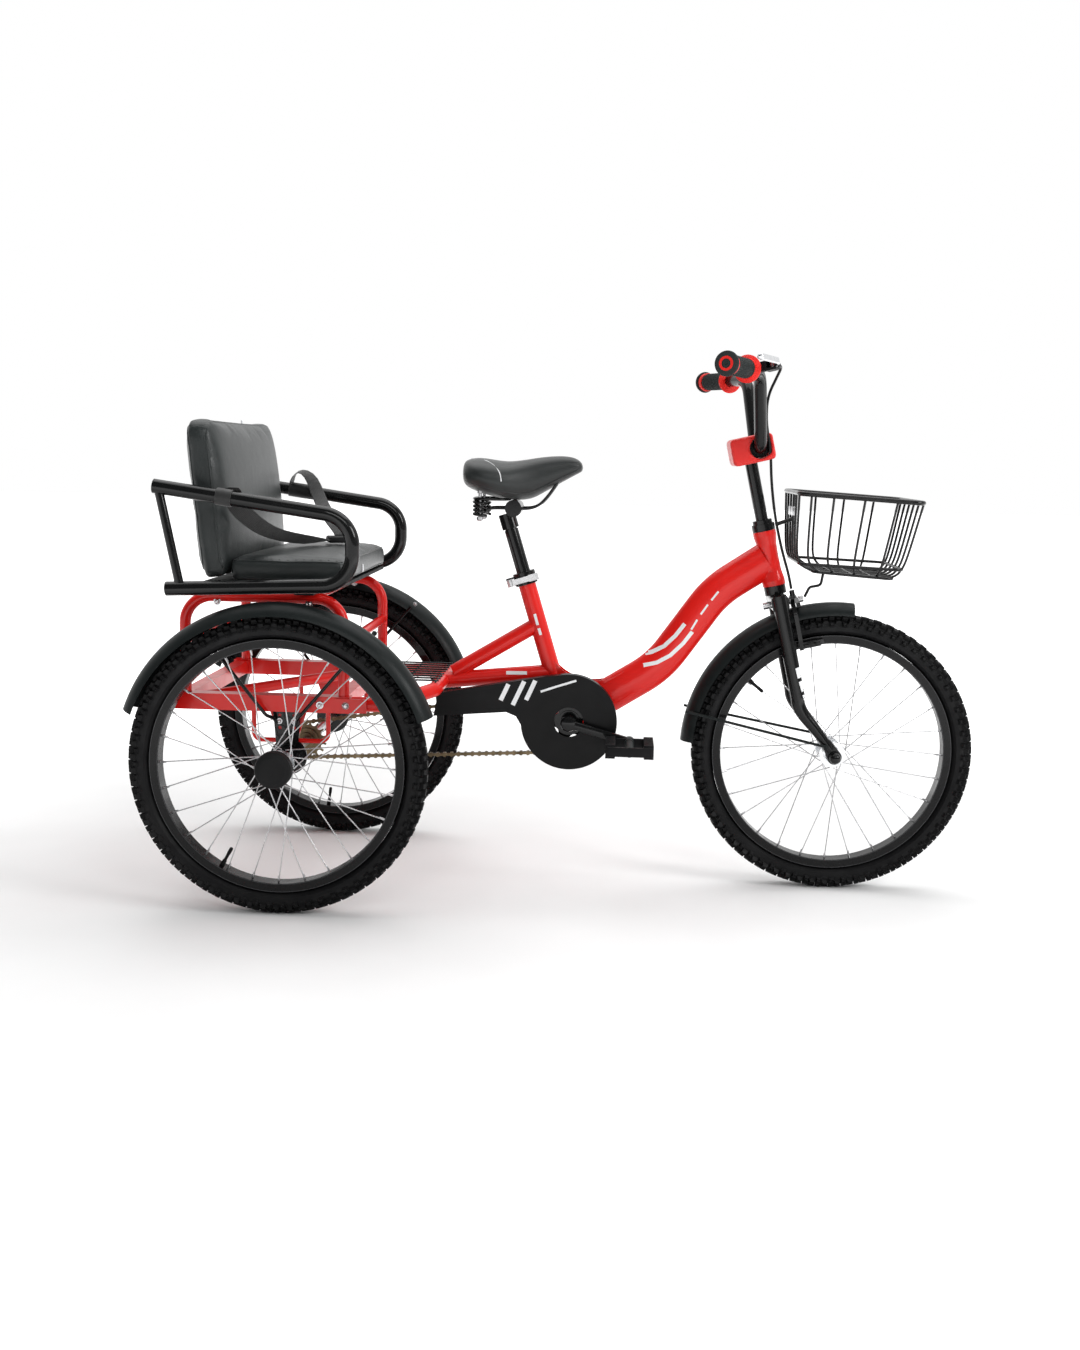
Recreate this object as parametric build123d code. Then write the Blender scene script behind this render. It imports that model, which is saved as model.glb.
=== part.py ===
from build123d import *
import os
from math import acos, atan2, cos, hypot, pi, radians, sin, tan

# Adult tricycle with 20 inch wheels, a step-through frame and a passenger seat over the rear axle.
# Millimetres. While it is built, X runs forward from the rear axle, Y to the rider's left and
# Z up from the ground. write_parts() then moves the origin to the middle of the footprint.

# Driving dimensions: wheels
wheelbase = 958.5
rear_track = 540.0
wheel_radius = 254.0
tyre_width = 54.0
tyre_height = 44.0
tyre_wall = 4.0
rim_radius = 216.0
rim_depth = 15.0
rim_width = 29.0
rim_wall = 3.0
spoke_count = 28
spoke_radius = 1.0
spoke_lean_deg = 58.0
flange_radius = 23.0
flange_thickness = 3.0

# Steering column and front wheel mounting
head_angle_deg = 13.2
fork_rake = 43.4
head_low = 321.2
head_length = 99.4
head_radius = 17.0
head_flare = 20.5
steerer_radius = 12.7
crown_low = 277.5
crown_high = 306.0
fork_leg_side = 52.0
fork_leg_top_radius = 13.0
fork_leg_low_radius = 8.0
dropout_thickness = 6.0
front_axle_radius = 4.8
stem_radius = 11.1
clamp_forward = 17.0
clamp_up = 567.0
bar_radius = 11.1
bar_bore = 9.3
grip_radius = 16.0
grip_length = 112.0
grip_flange_radius = 23.0

# Frame tubes
seat_tube_angle_deg = 17.3
seat_tube_radius = 15.9
seat_post_radius = 12.7
main_tube_height = 64.0
main_tube_width = 40.0
stay_radius = 15.0
tube_wall = 2.0
bracket_x = 480.0
bracket_z = 303.5
bracket_radius = 24.0
bracket_length = 68.0
loop_radius = 13.0

# Rear frame, rack and passenger seat
rail_side = 200.0
rail_size = 28.0
rail_middle_z = 350.0
rail_rear_x = -198.0
rail_front_x = 110.0
rack_radius = 9.5
rack_top_z = 531.0
rack_rear_x = -176.0
rack_front_x = 114.0
armrest_side = 262.0
armrest_radius = 12.0
seat_half_width = 220.0
seat_rear_x = -100.0
seat_front_x = 106.0
seat_bottom_z = 557.0
seat_top_z = 600.0
back_half_width = 228.0
back_height = 276.0
back_thickness = 48.0
back_lean_deg = 4.0

# Drive train
chain_pitch = 12.7
ring_teeth = 28
sprocket_teeth = 16
chain_side = -45.0
crank_length = 114.0
crank_rest_deg = -15.3
crank_arm_side = 70.0
crank_spindle_radius = 11.0
pedal_length = 84.0
pedal_width = 88.0
pedal_spindle_radius = 4.5
rear_axle_radius = 8.0
guard_radius = 87.0
guard_face_side = -56.0
guard_depth = 18.0
sheet_wall = 1.8

# Fenders and basket
front_fender_radius = 275.0
front_fender_half_width = 31.0
front_fender_start_deg = 84.0
front_fender_end_deg = 177.0
rear_fender_radius = 277.0
rear_fender_half_width = 32.0
rear_fender_end_deg = 19.5
fender_drop = 22.0
fender_wall = 2.0
basket_half_width = 120.0
basket_length = 214.0
basket_height = 138.0
basket_floor_length = 110.0
basket_floor_half = 92.0
basket_wall = 3.0

# Clearances
running_gap = 0.05
seat_gap = 0.5
cable_radius = 2.4

# Derived places
axle_z = wheel_radius
head_tilt = radians(head_angle_deg)
foot_x = wheelbase - fork_rake * cos(head_tilt)
foot_z = axle_z - fork_rake * sin(head_tilt)
forward_dir = Vector(cos(head_tilt), 0, sin(head_tilt))
column_dir = Vector(-sin(head_tilt), 0, cos(head_tilt))
steering = Plane(origin=(foot_x, 0, foot_z), x_dir=forward_dir, z_dir=column_dir)
front_axle = Pos(wheelbase, 0, axle_z)
rear_axle = Pos(0, 0, axle_z)
seat_tilt = radians(seat_tube_angle_deg)
seat_tube_length = 272.6
seat_tube_foot = Vector(bracket_x - 9.5, 0, bracket_z + 4.0)
seat_up = Vector(-sin(seat_tilt), 0, cos(seat_tilt))
seat_collar_point = seat_tube_foot + seat_up * seat_tube_length
seat_plane = Plane(origin=seat_collar_point, x_dir=(cos(seat_tilt), 0, sin(seat_tilt)), z_dir=seat_up)
rail_top_z = rail_middle_z + rail_size / 2
rail_low_z = rail_middle_z - rail_size / 2
rim_middle = rim_radius - rim_depth / 2
front_reach = wheelbase + wheel_radius
rear_reach = -rear_fender_radius * cos(radians(rear_fender_end_deg))
middle_x = (front_reach + rear_reach) / 2


def at_steering(forward, side, up):
    """A point given along the steering column, in build coordinates."""
    return steering.from_local_coords(Vector(forward, side, up))


def to_steering(x, y, z):
    return steering.to_local_coords(Vector(x, y, z))


def fuse(shapes):
    whole = shapes[0]
    for shape in shapes[1:]:
        whole = whole + shape
    return whole


def rod(start, end, radius):
    start = Vector(start)
    axis = Vector(end) - start
    plane = Plane(origin=start, z_dir=axis)
    return plane * Cylinder(radius, axis.length, align=(Align.CENTER, Align.CENTER, Align.MIN))


def disc(radius, low_y, high_y, hole=0.0):
    """A disc or ring about the Y axis between two Y values."""
    solid = rod((0, low_y, 0), (0, high_y, 0), radius)
    if hole:
        solid = solid - rod((0, low_y - 1, 0), (0, high_y + 1, 0), hole)
    return solid


def box(low, high):
    size = Vector(high) - Vector(low)
    middle = (Vector(high) + Vector(low)) / 2
    return Pos(middle) * Box(size.X, size.Y, size.Z)


def turned(points):
    """A closed (radius, y) outline turned about the Y axis."""
    return revolve(make_face(Polyline(*points, close=True)), Axis.Y)


def bent_path(points, radii):
    return FilletPolyline(*[Vector(p) for p in points], radius=radii)


def bent_tube(points, radii, radius, bore=0.0):
    path = bent_path(points, radii)
    section = Circle(radius)
    if bore:
        section = section - Circle(bore)
    return sweep(Plane(origin=path @ 0, z_dir=path % 0) * section, path=path)


def cord_radii(points):
    """Arcs as large as the two runs beside each corner allow."""
    radii = []
    for before, corner, after in zip(points, points[1:], points[2:]):
        run_in = Vector(corner) - Vector(before)
        run_out = Vector(after) - Vector(corner)
        turn = radians(run_in.get_angle(run_out))
        radii.append(0.45 * min(run_in.length, run_out.length) / tan(turn / 2))
    return radii


def strap(points, width, low, high):
    """A flat bar in the Y-Z plane of a local frame: rounded links between points, low to high along X."""
    links = []
    for (y0, z0), (y1, z1) in zip(points, points[1:]):
        ends = Pos(y0, z0) * Circle(width / 2), Pos(y1, z1) * Circle(width / 2)
        hull = make_hull(ends[0].edges() + ends[1].edges())
        links.append(Plane(origin=(low, 0, 0), x_dir=(0, 1, 0), z_dir=(1, 0, 0)) * extrude(hull,
                                                                                           high - low))
    return fuse(links)


# Wheels

def tyre():
    middle = wheel_radius - tyre_height / 2
    section = Pos(middle, 0) * Ellipse(tyre_height / 2, tyre_width / 2)
    section -= Pos(middle, 0) * Ellipse(tyre_height / 2 - tyre_wall, tyre_width / 2 - tyre_wall)
    section -= Pos(rim_middle, 0) * Rectangle(rim_depth + 2 * running_gap, rim_width + 2 * running_gap)
    return revolve(section, Axis.Y)


def rim():
    section = Pos(rim_middle, 0) * Rectangle(rim_depth, rim_width)
    section -= Pos(rim_middle + rim_wall, 0) * Rectangle(rim_depth, rim_width - 2 * rim_wall)
    return revolve(section, Axis.Y)


def spokes(flange_sides):
    """Spokes laced from two hub flanges to the rim, leaning forward and back by turns."""
    bars = []
    rim_hole_radius = rim_radius - rim_depth - 0.3
    hub_hole_radius = flange_radius + spoke_radius + 0.3
    for number in range(spoke_count):
        flange_y = flange_sides[number % 2]
        lean = 1 if number % 4 < 2 else -1
        rim_angle = radians(360 / spoke_count * number)
        hub_angle = rim_angle + radians(spoke_lean_deg) * lean
        start_y = flange_y + lean * 2.0
        start = (hub_hole_radius * cos(hub_angle), start_y, hub_hole_radius * sin(hub_angle))
        end = (rim_hole_radius * cos(rim_angle), 0, rim_hole_radius * sin(rim_angle))
        bars.append(rod(start, end, spoke_radius))
    return Compound(children=bars)


front_flange = 28.0
front_hub_half = 42.5


def front_hub():
    half = front_hub_half
    low = front_flange - flange_thickness / 2
    high = front_flange + flange_thickness / 2
    body = turned([(front_axle_radius + running_gap, -half), (15, -half), (15, -high), (flange_radius,
                                                                                        -high),
                   (flange_radius, -low), (13, -low), (13, low), (flange_radius, low), (flange_radius,
                                                                                        high),
                   (15, high), (15, half), (front_axle_radius + running_gap, half)])
    return body


rear_flange_in = -19.0
rear_flange_out = 19.0
rear_hub_in = -26.0
rear_hub_out = 30.0
cap_radius = 31.0
cap_out = 46.0
cap_wall = 2.0


def rear_hub(bore):
    """Rear hub about Y, with the outer end towards +Y."""
    ft = flange_thickness / 2
    seat_disc = cap_radius - cap_wall - running_gap
    return turned([(bore, rear_hub_in), (17, rear_hub_in), (17, rear_flange_in - ft), (flange_radius,
                                                                                       rear_flange_in - ft),
                   (flange_radius, rear_flange_in + ft), (15, rear_flange_in + ft), (15,
                                                                                     rear_flange_out - ft),
                   (flange_radius, rear_flange_out - ft), (flange_radius, rear_flange_out + ft), (17,
                                                                                                  rear_flange_out + ft),
                   (17, 25), (seat_disc, 25), (seat_disc, 28), (17, 28), (17, rear_hub_out), (bore,
                                                                                              rear_hub_out)])


def hub_cap():
    r = cap_radius
    w = cap_wall
    return turned([(0, cap_out), (r - 9, cap_out), (r - 2, cap_out - 3), (r, cap_out - 7), (r, 24),
                   (r - w, 24),
                   (r - w, cap_out - 7), (r - 9, cap_out - w), (0, cap_out - w)])


def rear_wheel(side, bore):
    """Tyre, rim, spokes, hub and cap of one rear wheel; side is 1 on the left and -1 on the right."""
    place = Pos(0, side * rear_track / 2, axle_z)
    outward = Rot(0, 0, 0) if side > 0 else Rot(0, 0, 180)
    name = "left" if side > 0 else "right"
    return {
        f"rear_tyre_{name}": place * tyre(),
        f"rear_rim_{name}": place * rim(),
        f"rear_spokes_{name}": place * spokes((rear_flange_in, rear_flange_out)),
        f"rear_hub_{name}": place * outward * rear_hub(bore),
        f"hub_cap_{name}": place * outward * hub_cap(),
    }


def front_wheel():
    return {
        "front_tyre": front_axle * tyre(),
        "front_rim": front_axle * rim(),
        "front_spokes": front_axle * spokes((-front_flange, front_flange)),
        "front_hub": front_axle * front_hub(),
    }


# Rear axle

hub_face = rear_track / 2 + rear_hub_out
hub_inner_face = rear_track / 2 + rear_hub_in


axle_split = 200.0
axle_end = hub_face + 8.0
axle_nut_radius = 12.5
axle_collar_radius = 13.0
axle_collar_width = 8.0


def rear_axle_half(side, inner_end):
    """The axle from inner_end out to one wheel, with that wheel's collar and nut."""
    shaft = disc(rear_axle_radius, *sorted((inner_end, side * axle_end)))
    nut = sorted((side * (hub_face + seat_gap), side * (axle_end - 0.5)))
    collar_high = hub_inner_face - seat_gap
    collar = sorted((side * collar_high, side * (collar_high - axle_collar_width)))
    return rear_axle * (shaft + disc(axle_nut_radius, *nut) + disc(axle_collar_radius, *collar))


def pitch_radius(teeth):
    return chain_pitch / (2 * sin(pi / teeth))


def toothed_disc(teeth, thickness):
    """A chain wheel about Y with its first roller pocket towards +X; the pockets open outwards."""
    radius = pitch_radius(teeth)
    tooth_height = 3.6
    wheel = disc(radius + tooth_height, -thickness / 2, thickness / 2)
    seat = Pos(radius, 0) * Circle(roller_radius + 0.75)
    mouth = Pos(radius + 6, 0) * Circle(roller_radius + 1.8)
    outline = make_hull(seat.edges() + mouth.edges())
    pocket = Plane(origin=(0, thickness, 0), x_dir=(1, 0, 0), z_dir=(0, -1, 0)) * extrude(outline,
                                                                                          2 * thickness)
    for tooth in range(teeth):
        wheel -= Rot(0, 360 / teeth * tooth, 0) * pocket
    return wheel


def pocket_rollers(teeth, centre_x, centre_z, start, end):
    """Rollers in the pockets of one chain wheel, from half a tooth before one angle to half a tooth past another."""
    radius = pitch_radius(teeth)
    step = 2 * pi / teeth
    rollers = []
    for tooth in range(-teeth, 2 * teeth):
        if start - step / 2 <= tooth * step <= end + step / 2:
            rollers.append((centre_x + radius * cos(tooth * step), centre_z + radius * sin(tooth * step)))
    return rollers


def rollers_between(start, end):
    """Evenly spaced rollers on a straight run, without its two ends."""
    count = round(hypot(end[0] - start[0], end[1] - start[1]) / chain_pitch)
    shares = [number / count for number in range(1, count)]
    return [(start[0] + (end[0] - start[0]) * share, start[1]
             + (end[1] - start[1]) * share) for share in shares]


def chain_links():
    """Middle of every roller: round the front wheel, back along the top, round the rear wheel and below."""
    radius_change = pitch_radius(sprocket_teeth) - pitch_radius(ring_teeth)
    rise = bracket_z - axle_z
    base = atan2(rise, bracket_x)
    flare = acos(radius_change / hypot(bracket_x, rise))
    front = pocket_rollers(ring_teeth, bracket_x, bracket_z, base - flare, base + flare)
    rear = pocket_rollers(sprocket_teeth, 0, axle_z, base + flare, base - flare + 2 * pi)
    upper = rollers_between(front[-1], rear[0])
    lower = rollers_between(rear[-1], front[0])
    return front + upper + rear + lower


chain_plate_thickness = 1.1
chain_plate_height = 8.4
chain_inner_gap = 4.0
roller_radius = 3.9
tooth_thickness = 2.4


def chain():
    """Two loops of side plate with the rollers between them."""
    ring = pitch_radius(ring_teeth)
    sprocket = pitch_radius(sprocket_teeth)
    h = chain_plate_height / 2

    def band(offset):
        big = Pos(bracket_x, bracket_z) * Circle(ring + offset)
        small = Pos(0, axle_z) * Circle(sprocket + offset)
        return make_hull(big.edges() + small.edges())

    loop = band(h) - band(-h)
    solids = []
    for side in (-1, 1):
        low = side * (chain_inner_gap / 2 + chain_plate_thickness / 2)
        plate = Plane(origin=(0, chain_side + low, 0), x_dir=(1, 0, 0), z_dir=(0, -1, 0)) * loop
        solids.append(extrude(plate, chain_plate_thickness / 2, both=True))
    half = chain_inner_gap / 2 - 0.05
    for x, z in chain_links():
        solids.append(rod((x, chain_side - half, z), (x, chain_side + half, z), roller_radius))
    return Compound(children=solids)


def freewheel():
    wheel = toothed_disc(sprocket_teeth, tooth_thickness)
    wheel += disc(22.0, -5, 9)
    wheel += disc(14.0, -9, 16)
    wheel -= disc(rear_axle_radius + running_gap / 2, -20, 30)
    return Pos(0, chain_side, axle_z) * wheel


# Crank and pedals

def crank_direction(side):
    """Unit (x, z) from the crank axis to a pedal; side is -1 on the right."""
    angle = radians(crank_rest_deg) if side < 0 else radians(crank_rest_deg + 180)
    return cos(angle), sin(angle)


arm_thickness = 10.0


def crank():
    """One-piece crank: spindle, two arms and the pedal spindles."""
    out = crank_arm_side + arm_thickness / 2
    inner = crank_arm_side - arm_thickness / 2
    solid = disc(crank_spindle_radius, -out, out)
    for side in (-1, 1):
        cx, cz = crank_direction(side)
        tip = crank_length * cx, crank_length * cz
        big = Circle(17)
        small = Pos(tip) * Circle(12)
        outline = make_hull(big.edges() + small.edges())
        face_y = inner if side > 0 else -out
        arm = Plane(origin=(0, face_y + arm_thickness, 0), x_dir=(1, 0, 0), z_dir=(0, -1,
                                                                                   0)) * extrude(outline,
                                                                                                 arm_thickness)
        solid += arm
        spindle_end = side * (out + seat_gap + pedal_width + 2)
        solid += rod((tip[0], side * inner, tip[1]), (tip[0], spindle_end, tip[1]), pedal_spindle_radius)
    return Pos(bracket_x, 0, bracket_z) * solid


def chainring():
    wheel = toothed_disc(ring_teeth, tooth_thickness)
    for arm in range(5):
        angle = 2 * pi * arm / 5
        wheel -= Pos(34 * cos(angle), 0, 34 * sin(angle)) * disc(9, -5, 5)
    wheel += disc(20.0, -4, 4)
    wheel -= disc(crank_spindle_radius + running_gap / 2, -6, 6)
    return Pos(bracket_x, chain_side, bracket_z) * wheel


def pedal(side):
    """Block pedal: a barrel, two tread blocks and end plates, about its own spindle."""
    barrel = 9.0
    block = 17.0
    height = 25.0
    low = crank_arm_side + arm_thickness / 2 + seat_gap
    high = low + pedal_width
    half = pedal_length / 2
    solid = disc(barrel, low, high)
    for end in (-1, 1):
        blocks = sorted((end * half, end * (half - block)))
        solid += box((blocks[0], low, -height / 2), (blocks[1], high, height / 2))
    for plate_y in (low, high - 5):
        solid += box((-half, plate_y, -height / 2 + 4), (half, plate_y + 5, height / 2 - 4))
    solid -= disc(pedal_spindle_radius + running_gap, low - 1, high + 3)
    cx, cz = crank_direction(side)
    turn = Rot(0, 0, 0) if side > 0 else Rot(0, 0, 180)
    return Pos(bracket_x + crank_length * cx, 0, bracket_z + crank_length * cz) * turn * solid


# Front frame

head_socket = Vector(-6, 0, head_low + head_length * 0.48)


def main_tube_points():
    top = at_steering(head_socket.X, 0, head_socket.Z)
    return [top, top + Vector(-88, 0, -59), Vector(bracket_x + 160, 0, bracket_z + 99),
            Vector(bracket_x + 4, 0, bracket_z + 1)]


def oval_sweep(points, radii, height, width):
    path = bent_path(points, radii)
    plane = Plane(origin=path @ 0, x_dir=(0, 1, 0), z_dir=path % 0)
    return sweep(plane * Ellipse(width / 2, height / 2), path=path)


def gusset(half_width):
    """Curved web between the seat tube and the main tube."""
    outline = [Vector(bracket_x - 33, 108, 0), Vector(bracket_x + 14, 74, 0), Vector(bracket_x + 97, 90, 0)]
    top = ThreePointArc(*[Vector(p.X, p.Y + bracket_z, 0) for p in outline])
    close = Polyline((bracket_x + 97, bracket_z + 90), (bracket_x + 70, bracket_z + 35), (bracket_x,
                                                                                          bracket_z),
                     (bracket_x - 15, bracket_z + 30), (bracket_x - 33, bracket_z + 108))
    face = make_face(Curve() + [top, close])
    sheet = Plane(origin=(0, half_width, 0), x_dir=(1, 0, 0), z_dir=(0, -1, 0)) * face
    return extrude(sheet, 2 * half_width)


loop_front_x = 243.0
loop_front_z = 365.0
loop_half = 110.0


def loop_points():
    half = rail_side
    return [(rail_front_x + 2, -half, rail_middle_z), (175, -half, rail_middle_z + 2), (loop_front_x,
                                                                                        -loop_half, loop_front_z),
            (loop_front_x, loop_half, loop_front_z), (175, half, rail_middle_z + 2), (rail_front_x + 2,
                                                                                      half, rail_middle_z)]


def head_tube_ring():
    low = head_low
    high = head_low + head_length
    outline = Polyline((0, low), (head_flare, low), (head_flare, low + 9), (head_radius + 0.6, low + 26),
                       (head_radius, (low + high) / 2), (head_radius + 0.6, high - 26), (head_flare,
                                                                                         high - 9),
                       (head_flare, high), (0, high), close=True)
    profile = Plane.XZ * make_face(outline)
    return steering * revolve(profile, Axis.Z)


def front_frame():
    main_points = main_tube_points()
    main_radii = [190, 190]
    stay_rear = Vector(loop_front_x, 0, loop_front_z)
    stay_front = Vector(bracket_x - 36, 0, bracket_z + 82)
    seat_stay_top = seat_tube_foot + seat_up * 175
    seat_stay_low = Vector(loop_front_x + 22, 0, loop_front_z + 16)
    seat_top = seat_tube_foot + seat_up * seat_tube_length
    outer = oval_sweep(main_points, main_radii, main_tube_height, main_tube_width)
    outer += rod(seat_tube_foot, seat_top, seat_tube_radius)
    outer += gusset(13)
    outer += rod(stay_rear, stay_front, stay_radius)
    outer += rod(seat_stay_low, seat_stay_top, stay_radius - 1)
    outer += bent_tube(loop_points(), [45, 40, 40, 45], loop_radius)
    inner = oval_sweep(main_points, main_radii, main_tube_height - 2 * tube_wall,
                       main_tube_width - 2 * tube_wall)
    inner += rod(stay_rear + Vector(12, 0, 2), stay_front, stay_radius - tube_wall)
    inner += gusset(11)
    inner += rod(seat_stay_low + Vector(20, 0, 13.5), seat_stay_top, stay_radius - 1 - tube_wall)
    frame = outer - inner
    frame -= bent_tube(loop_points(), [45, 40, 40, 45], loop_radius - tube_wall)
    frame += rod(seat_tube_foot + seat_up * 4, seat_top, seat_tube_radius)
    bracket = Pos(bracket_x, 0, bracket_z)
    frame += bracket * disc(bracket_radius, -bracket_length / 2, bracket_length / 2)
    frame += head_tube_ring()
    frame -= rod(seat_tube_foot + seat_up * 60, seat_top + seat_up * 5, seat_post_radius + running_gap)
    frame -= bracket * disc(crank_spindle_radius + running_gap, -bracket_length, bracket_length)
    frame -= bracket * disc(bracket_radius - 3, -bracket_length / 2 + 10, bracket_length / 2 - 10)
    head_bottom = at_steering(0, 0, head_low - 1)
    head_top = at_steering(0, 0, head_low + head_length + 1)
    frame -= rod(head_bottom, head_top, steerer_radius + running_gap)
    frame -= rod(at_steering(0, 0, head_low + 16), at_steering(0, 0, head_low + head_length - 16),
                 head_radius - 2)
    return frame


def footrest_grid():
    """Wire platform that rests on the loop's front tube."""
    wire = 2.5
    wire_z = loop_front_z + loop_radius + wire
    bars = []
    for number in range(10):
        y = -loop_half + 8 + number * (2 * loop_half - 16) / 9
        bars.append(rod((128, y, wire_z), (loop_front_x + 8, y, wire_z), wire))
    for x in (137, 214):
        bars.append(rod((x, -loop_half - 2, wire_z - 4.5), (x, loop_half + 2, wire_z - 4.5), 3.0))
    return fuse(bars)


# Rear frame and rack

def box_tube(low, high):
    """A square tube with closed ends."""
    shrink = Vector(tube_wall, tube_wall, tube_wall)
    return box(low, high) - box(Vector(low) + shrink, Vector(high) - shrink)


def rear_frame():
    half = rail_size / 2
    inside = rail_side - half
    parts = []
    for side in (-1, 1):
        y0, y1 = sorted((side * (rail_side - half), side * (rail_side + half)))
        parts.append(box_tube((rail_rear_x, y0, rail_low_z), (rail_front_x, y1, rail_top_z)))
        plate_y = sorted((side * (rail_side + half), side * (rail_side + half + 4)))
        parts.append(box((rail_front_x - 24, plate_y[0], rail_low_z + 2), (rail_front_x + 30, plate_y[1],
                                                                           rail_top_z - 2)))
    for x in (rail_rear_x + 4, rail_front_x - 32):
        parts.append(box_tube((x, -inside, rail_low_z + 2), (x + 24, inside, rail_top_z - 2)))
    start = Vector(rail_rear_x + 28, -inside, rail_middle_z)
    end = Vector(rail_front_x - 32, inside, rail_middle_z)
    brace = rod(start, end, 10) & box((rail_rear_x + 28, -inside, rail_low_z), (rail_front_x - 32,
                                                                                inside, rail_top_z))
    parts.append(brace)
    return fuse(parts + axle_hangers())


def rack_side(side):
    y = side * rail_side
    foot = rail_top_z
    points = [(rack_rear_x, y, foot), (rack_rear_x, y, rack_top_z), (rack_front_x - 16, y, rack_top_z),
              (rack_front_x - 16, y, foot)]
    return bent_tube(points, [48, 48], rack_radius)


def rack():
    """Two arches over the side rails with cross bars between them."""
    inside = rail_side
    solid = rack_side(-1) + rack_side(1)
    for x, z in ((-118, rack_top_z), (40, rack_top_z), (rack_front_x - 16, 452.0), (rack_rear_x, 452.0)):
        solid += rod((x, -inside, z), (x, inside, z), rack_radius - 1)
    for side in (-1, 1):
        hollow_points = [(rack_rear_x, side * inside, rail_top_z + 2), (rack_rear_x, side * inside,
                                                                        rack_top_z),
                         (rack_front_x - 16, side * inside, rack_top_z), (rack_front_x - 16,
                                                                          side * inside, rail_top_z + 2)]
        solid -= bent_tube(hollow_points, [48, 48], rack_radius - 1.6)
    return solid


hanger_side = 190.0
hanger_plate = 4.0
carrier_plate = 3.0


def axle_hangers():
    """Red plates and U bars below the rails that carry the axle bearings."""
    solids = []
    for side in (-1, 1):
        y0, y1 = sorted((side * (hanger_side - hanger_plate), side * hanger_side))
        outline = Polyline((-34, rail_low_z), (32, rail_low_z), (14, axle_z + 26), (-14, axle_z + 26),
                           close=True)
        face = Plane(origin=(0, y1, 0), x_dir=(1, 0, 0), z_dir=(0, -1, 0)) * make_face(outline)
        plate = extrude(face, hanger_plate)
        low = axle_z + 27
        y = side * (hanger_side - 4.1)
        bar = bent_tube([(-62, y, rail_low_z), (-62, y, low), (68, y, low), (68, y, rail_low_z)], [14,
                                                                                                   14], 4.0)
        solids.append(plate + bar)
    return solids


carrier_holes_x = (-15.0, 10.0)
carrier_holes_z = (326.0, 304.0)
carrier_hole_radius = 3.2


def bearing_carriers():
    """Black plates on the outside of the hangers with the round axle bearing housings below."""
    solids = []
    for side in (-1, 1):
        y_in = side * hanger_side
        y_out = side * (hanger_side + carrier_plate)
        y0, y1 = sorted((y_in, y_out))
        outline = Polyline((-27, rail_low_z - 0.3), (22, rail_low_z - 0.3), (15, axle_z), (-20, axle_z),
                           close=True)
        face = Plane(origin=(0, y1, 0), x_dir=(1, 0, 0), z_dir=(0, -1, 0)) * make_face(outline)
        plate = extrude(face, carrier_plate)
        h0, h1 = sorted((y_in, side * (hanger_side + 22)))
        housing = Pos(0, 0, axle_z) * disc(21.5, h0, h1)
        housing += Pos(0, 0, axle_z) * disc(32.0, y0, y1)
        solid = plate + housing
        solid -= Pos(0, 0, axle_z) * disc(rear_axle_radius + running_gap, -240, 240)
        for x in carrier_holes_x:
            for z in carrier_holes_z:
                solid -= rod((x, h0 - 5, z), (x, h1 + 5, z), carrier_hole_radius)
        solids.append(solid)
    return Compound(children=solids)


# Fenders

def fender(radius, half_width, start_deg, end_deg):
    """A curved guard about the Y axis; angles run from +X towards +Z."""
    def profile(offset):
        edge = radius - fender_drop
        return ThreePointArc((edge, -half_width + offset), (radius - offset, 0), (edge,
                                                                                  half_width - offset))
    outer = profile(0)
    inner = profile(fender_wall)
    sides = [Line(outer @ 0, inner @ 0), Line(outer @ 1, inner @ 1)]
    face = make_face(Curve() + [outer, inner, *sides])
    span = end_deg - start_deg
    return Rot(0, -end_deg, 0) * revolve(face, Axis.Y, revolution_arc=span)


def front_fender():
    guard = fender(front_fender_radius, front_fender_half_width, front_fender_start_deg,
                   front_fender_end_deg)
    return front_axle * guard


def rear_fender(side):
    guard = fender(rear_fender_radius, rear_fender_half_width, rear_fender_end_deg,
                   180 - rear_fender_end_deg)
    return Pos(0, side * rear_track / 2, axle_z) * guard


def fender_stays():
    """Two rods each side from the bearing carrier up to the rear fender's inner edge."""
    solids = []
    for side in (-1, 1):
        out = hanger_side + carrier_plate
        for lean in (-1, 1):
            foot_x = -20 if lean < 0 else 15
            tip = Vector(lean * 0.559 * wheel_radius + (0 if lean < 0 else 8), side * (rear_track / 2 - 35.5),
                         axle_z + 0.866 * wheel_radius)
            points = [(foot_x, side * (out + 3.3), 312), (foot_x + lean * 3, side * (out + 6), 321),
                      (foot_x + lean * 12, side * (rear_track / 2 - 48), 331), tip]
            solids.append(bent_tube(points, [8, 10], 3.0))
    return Compound(children=solids)


# Passenger seat

def seat_cushion():
    body = box((seat_rear_x, -seat_half_width, seat_bottom_z), (seat_front_x, seat_half_width, seat_top_z))
    return fillet(body.edges(), 9)


def back_cushion():
    lean = radians(back_lean_deg)
    foot = Vector(seat_rear_x - 4 - back_thickness / cos(lean) / 2, 0, seat_bottom_z + 2.3)
    body = Box(back_thickness, 2 * back_half_width, back_height, align=(Align.CENTER, Align.CENTER, Align.MIN))
    body = fillet(body.edges().filter_by(Axis.X).group_by(Axis.Z)[-1], 34)
    body = fillet(body.edges().filter_by(Axis.Z), 10)
    return Pos(foot) * Rot(0, -back_lean_deg, 0) * body


seat_bar_x = (-118.0, 40.0)
board_thickness = 6.0


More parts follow.
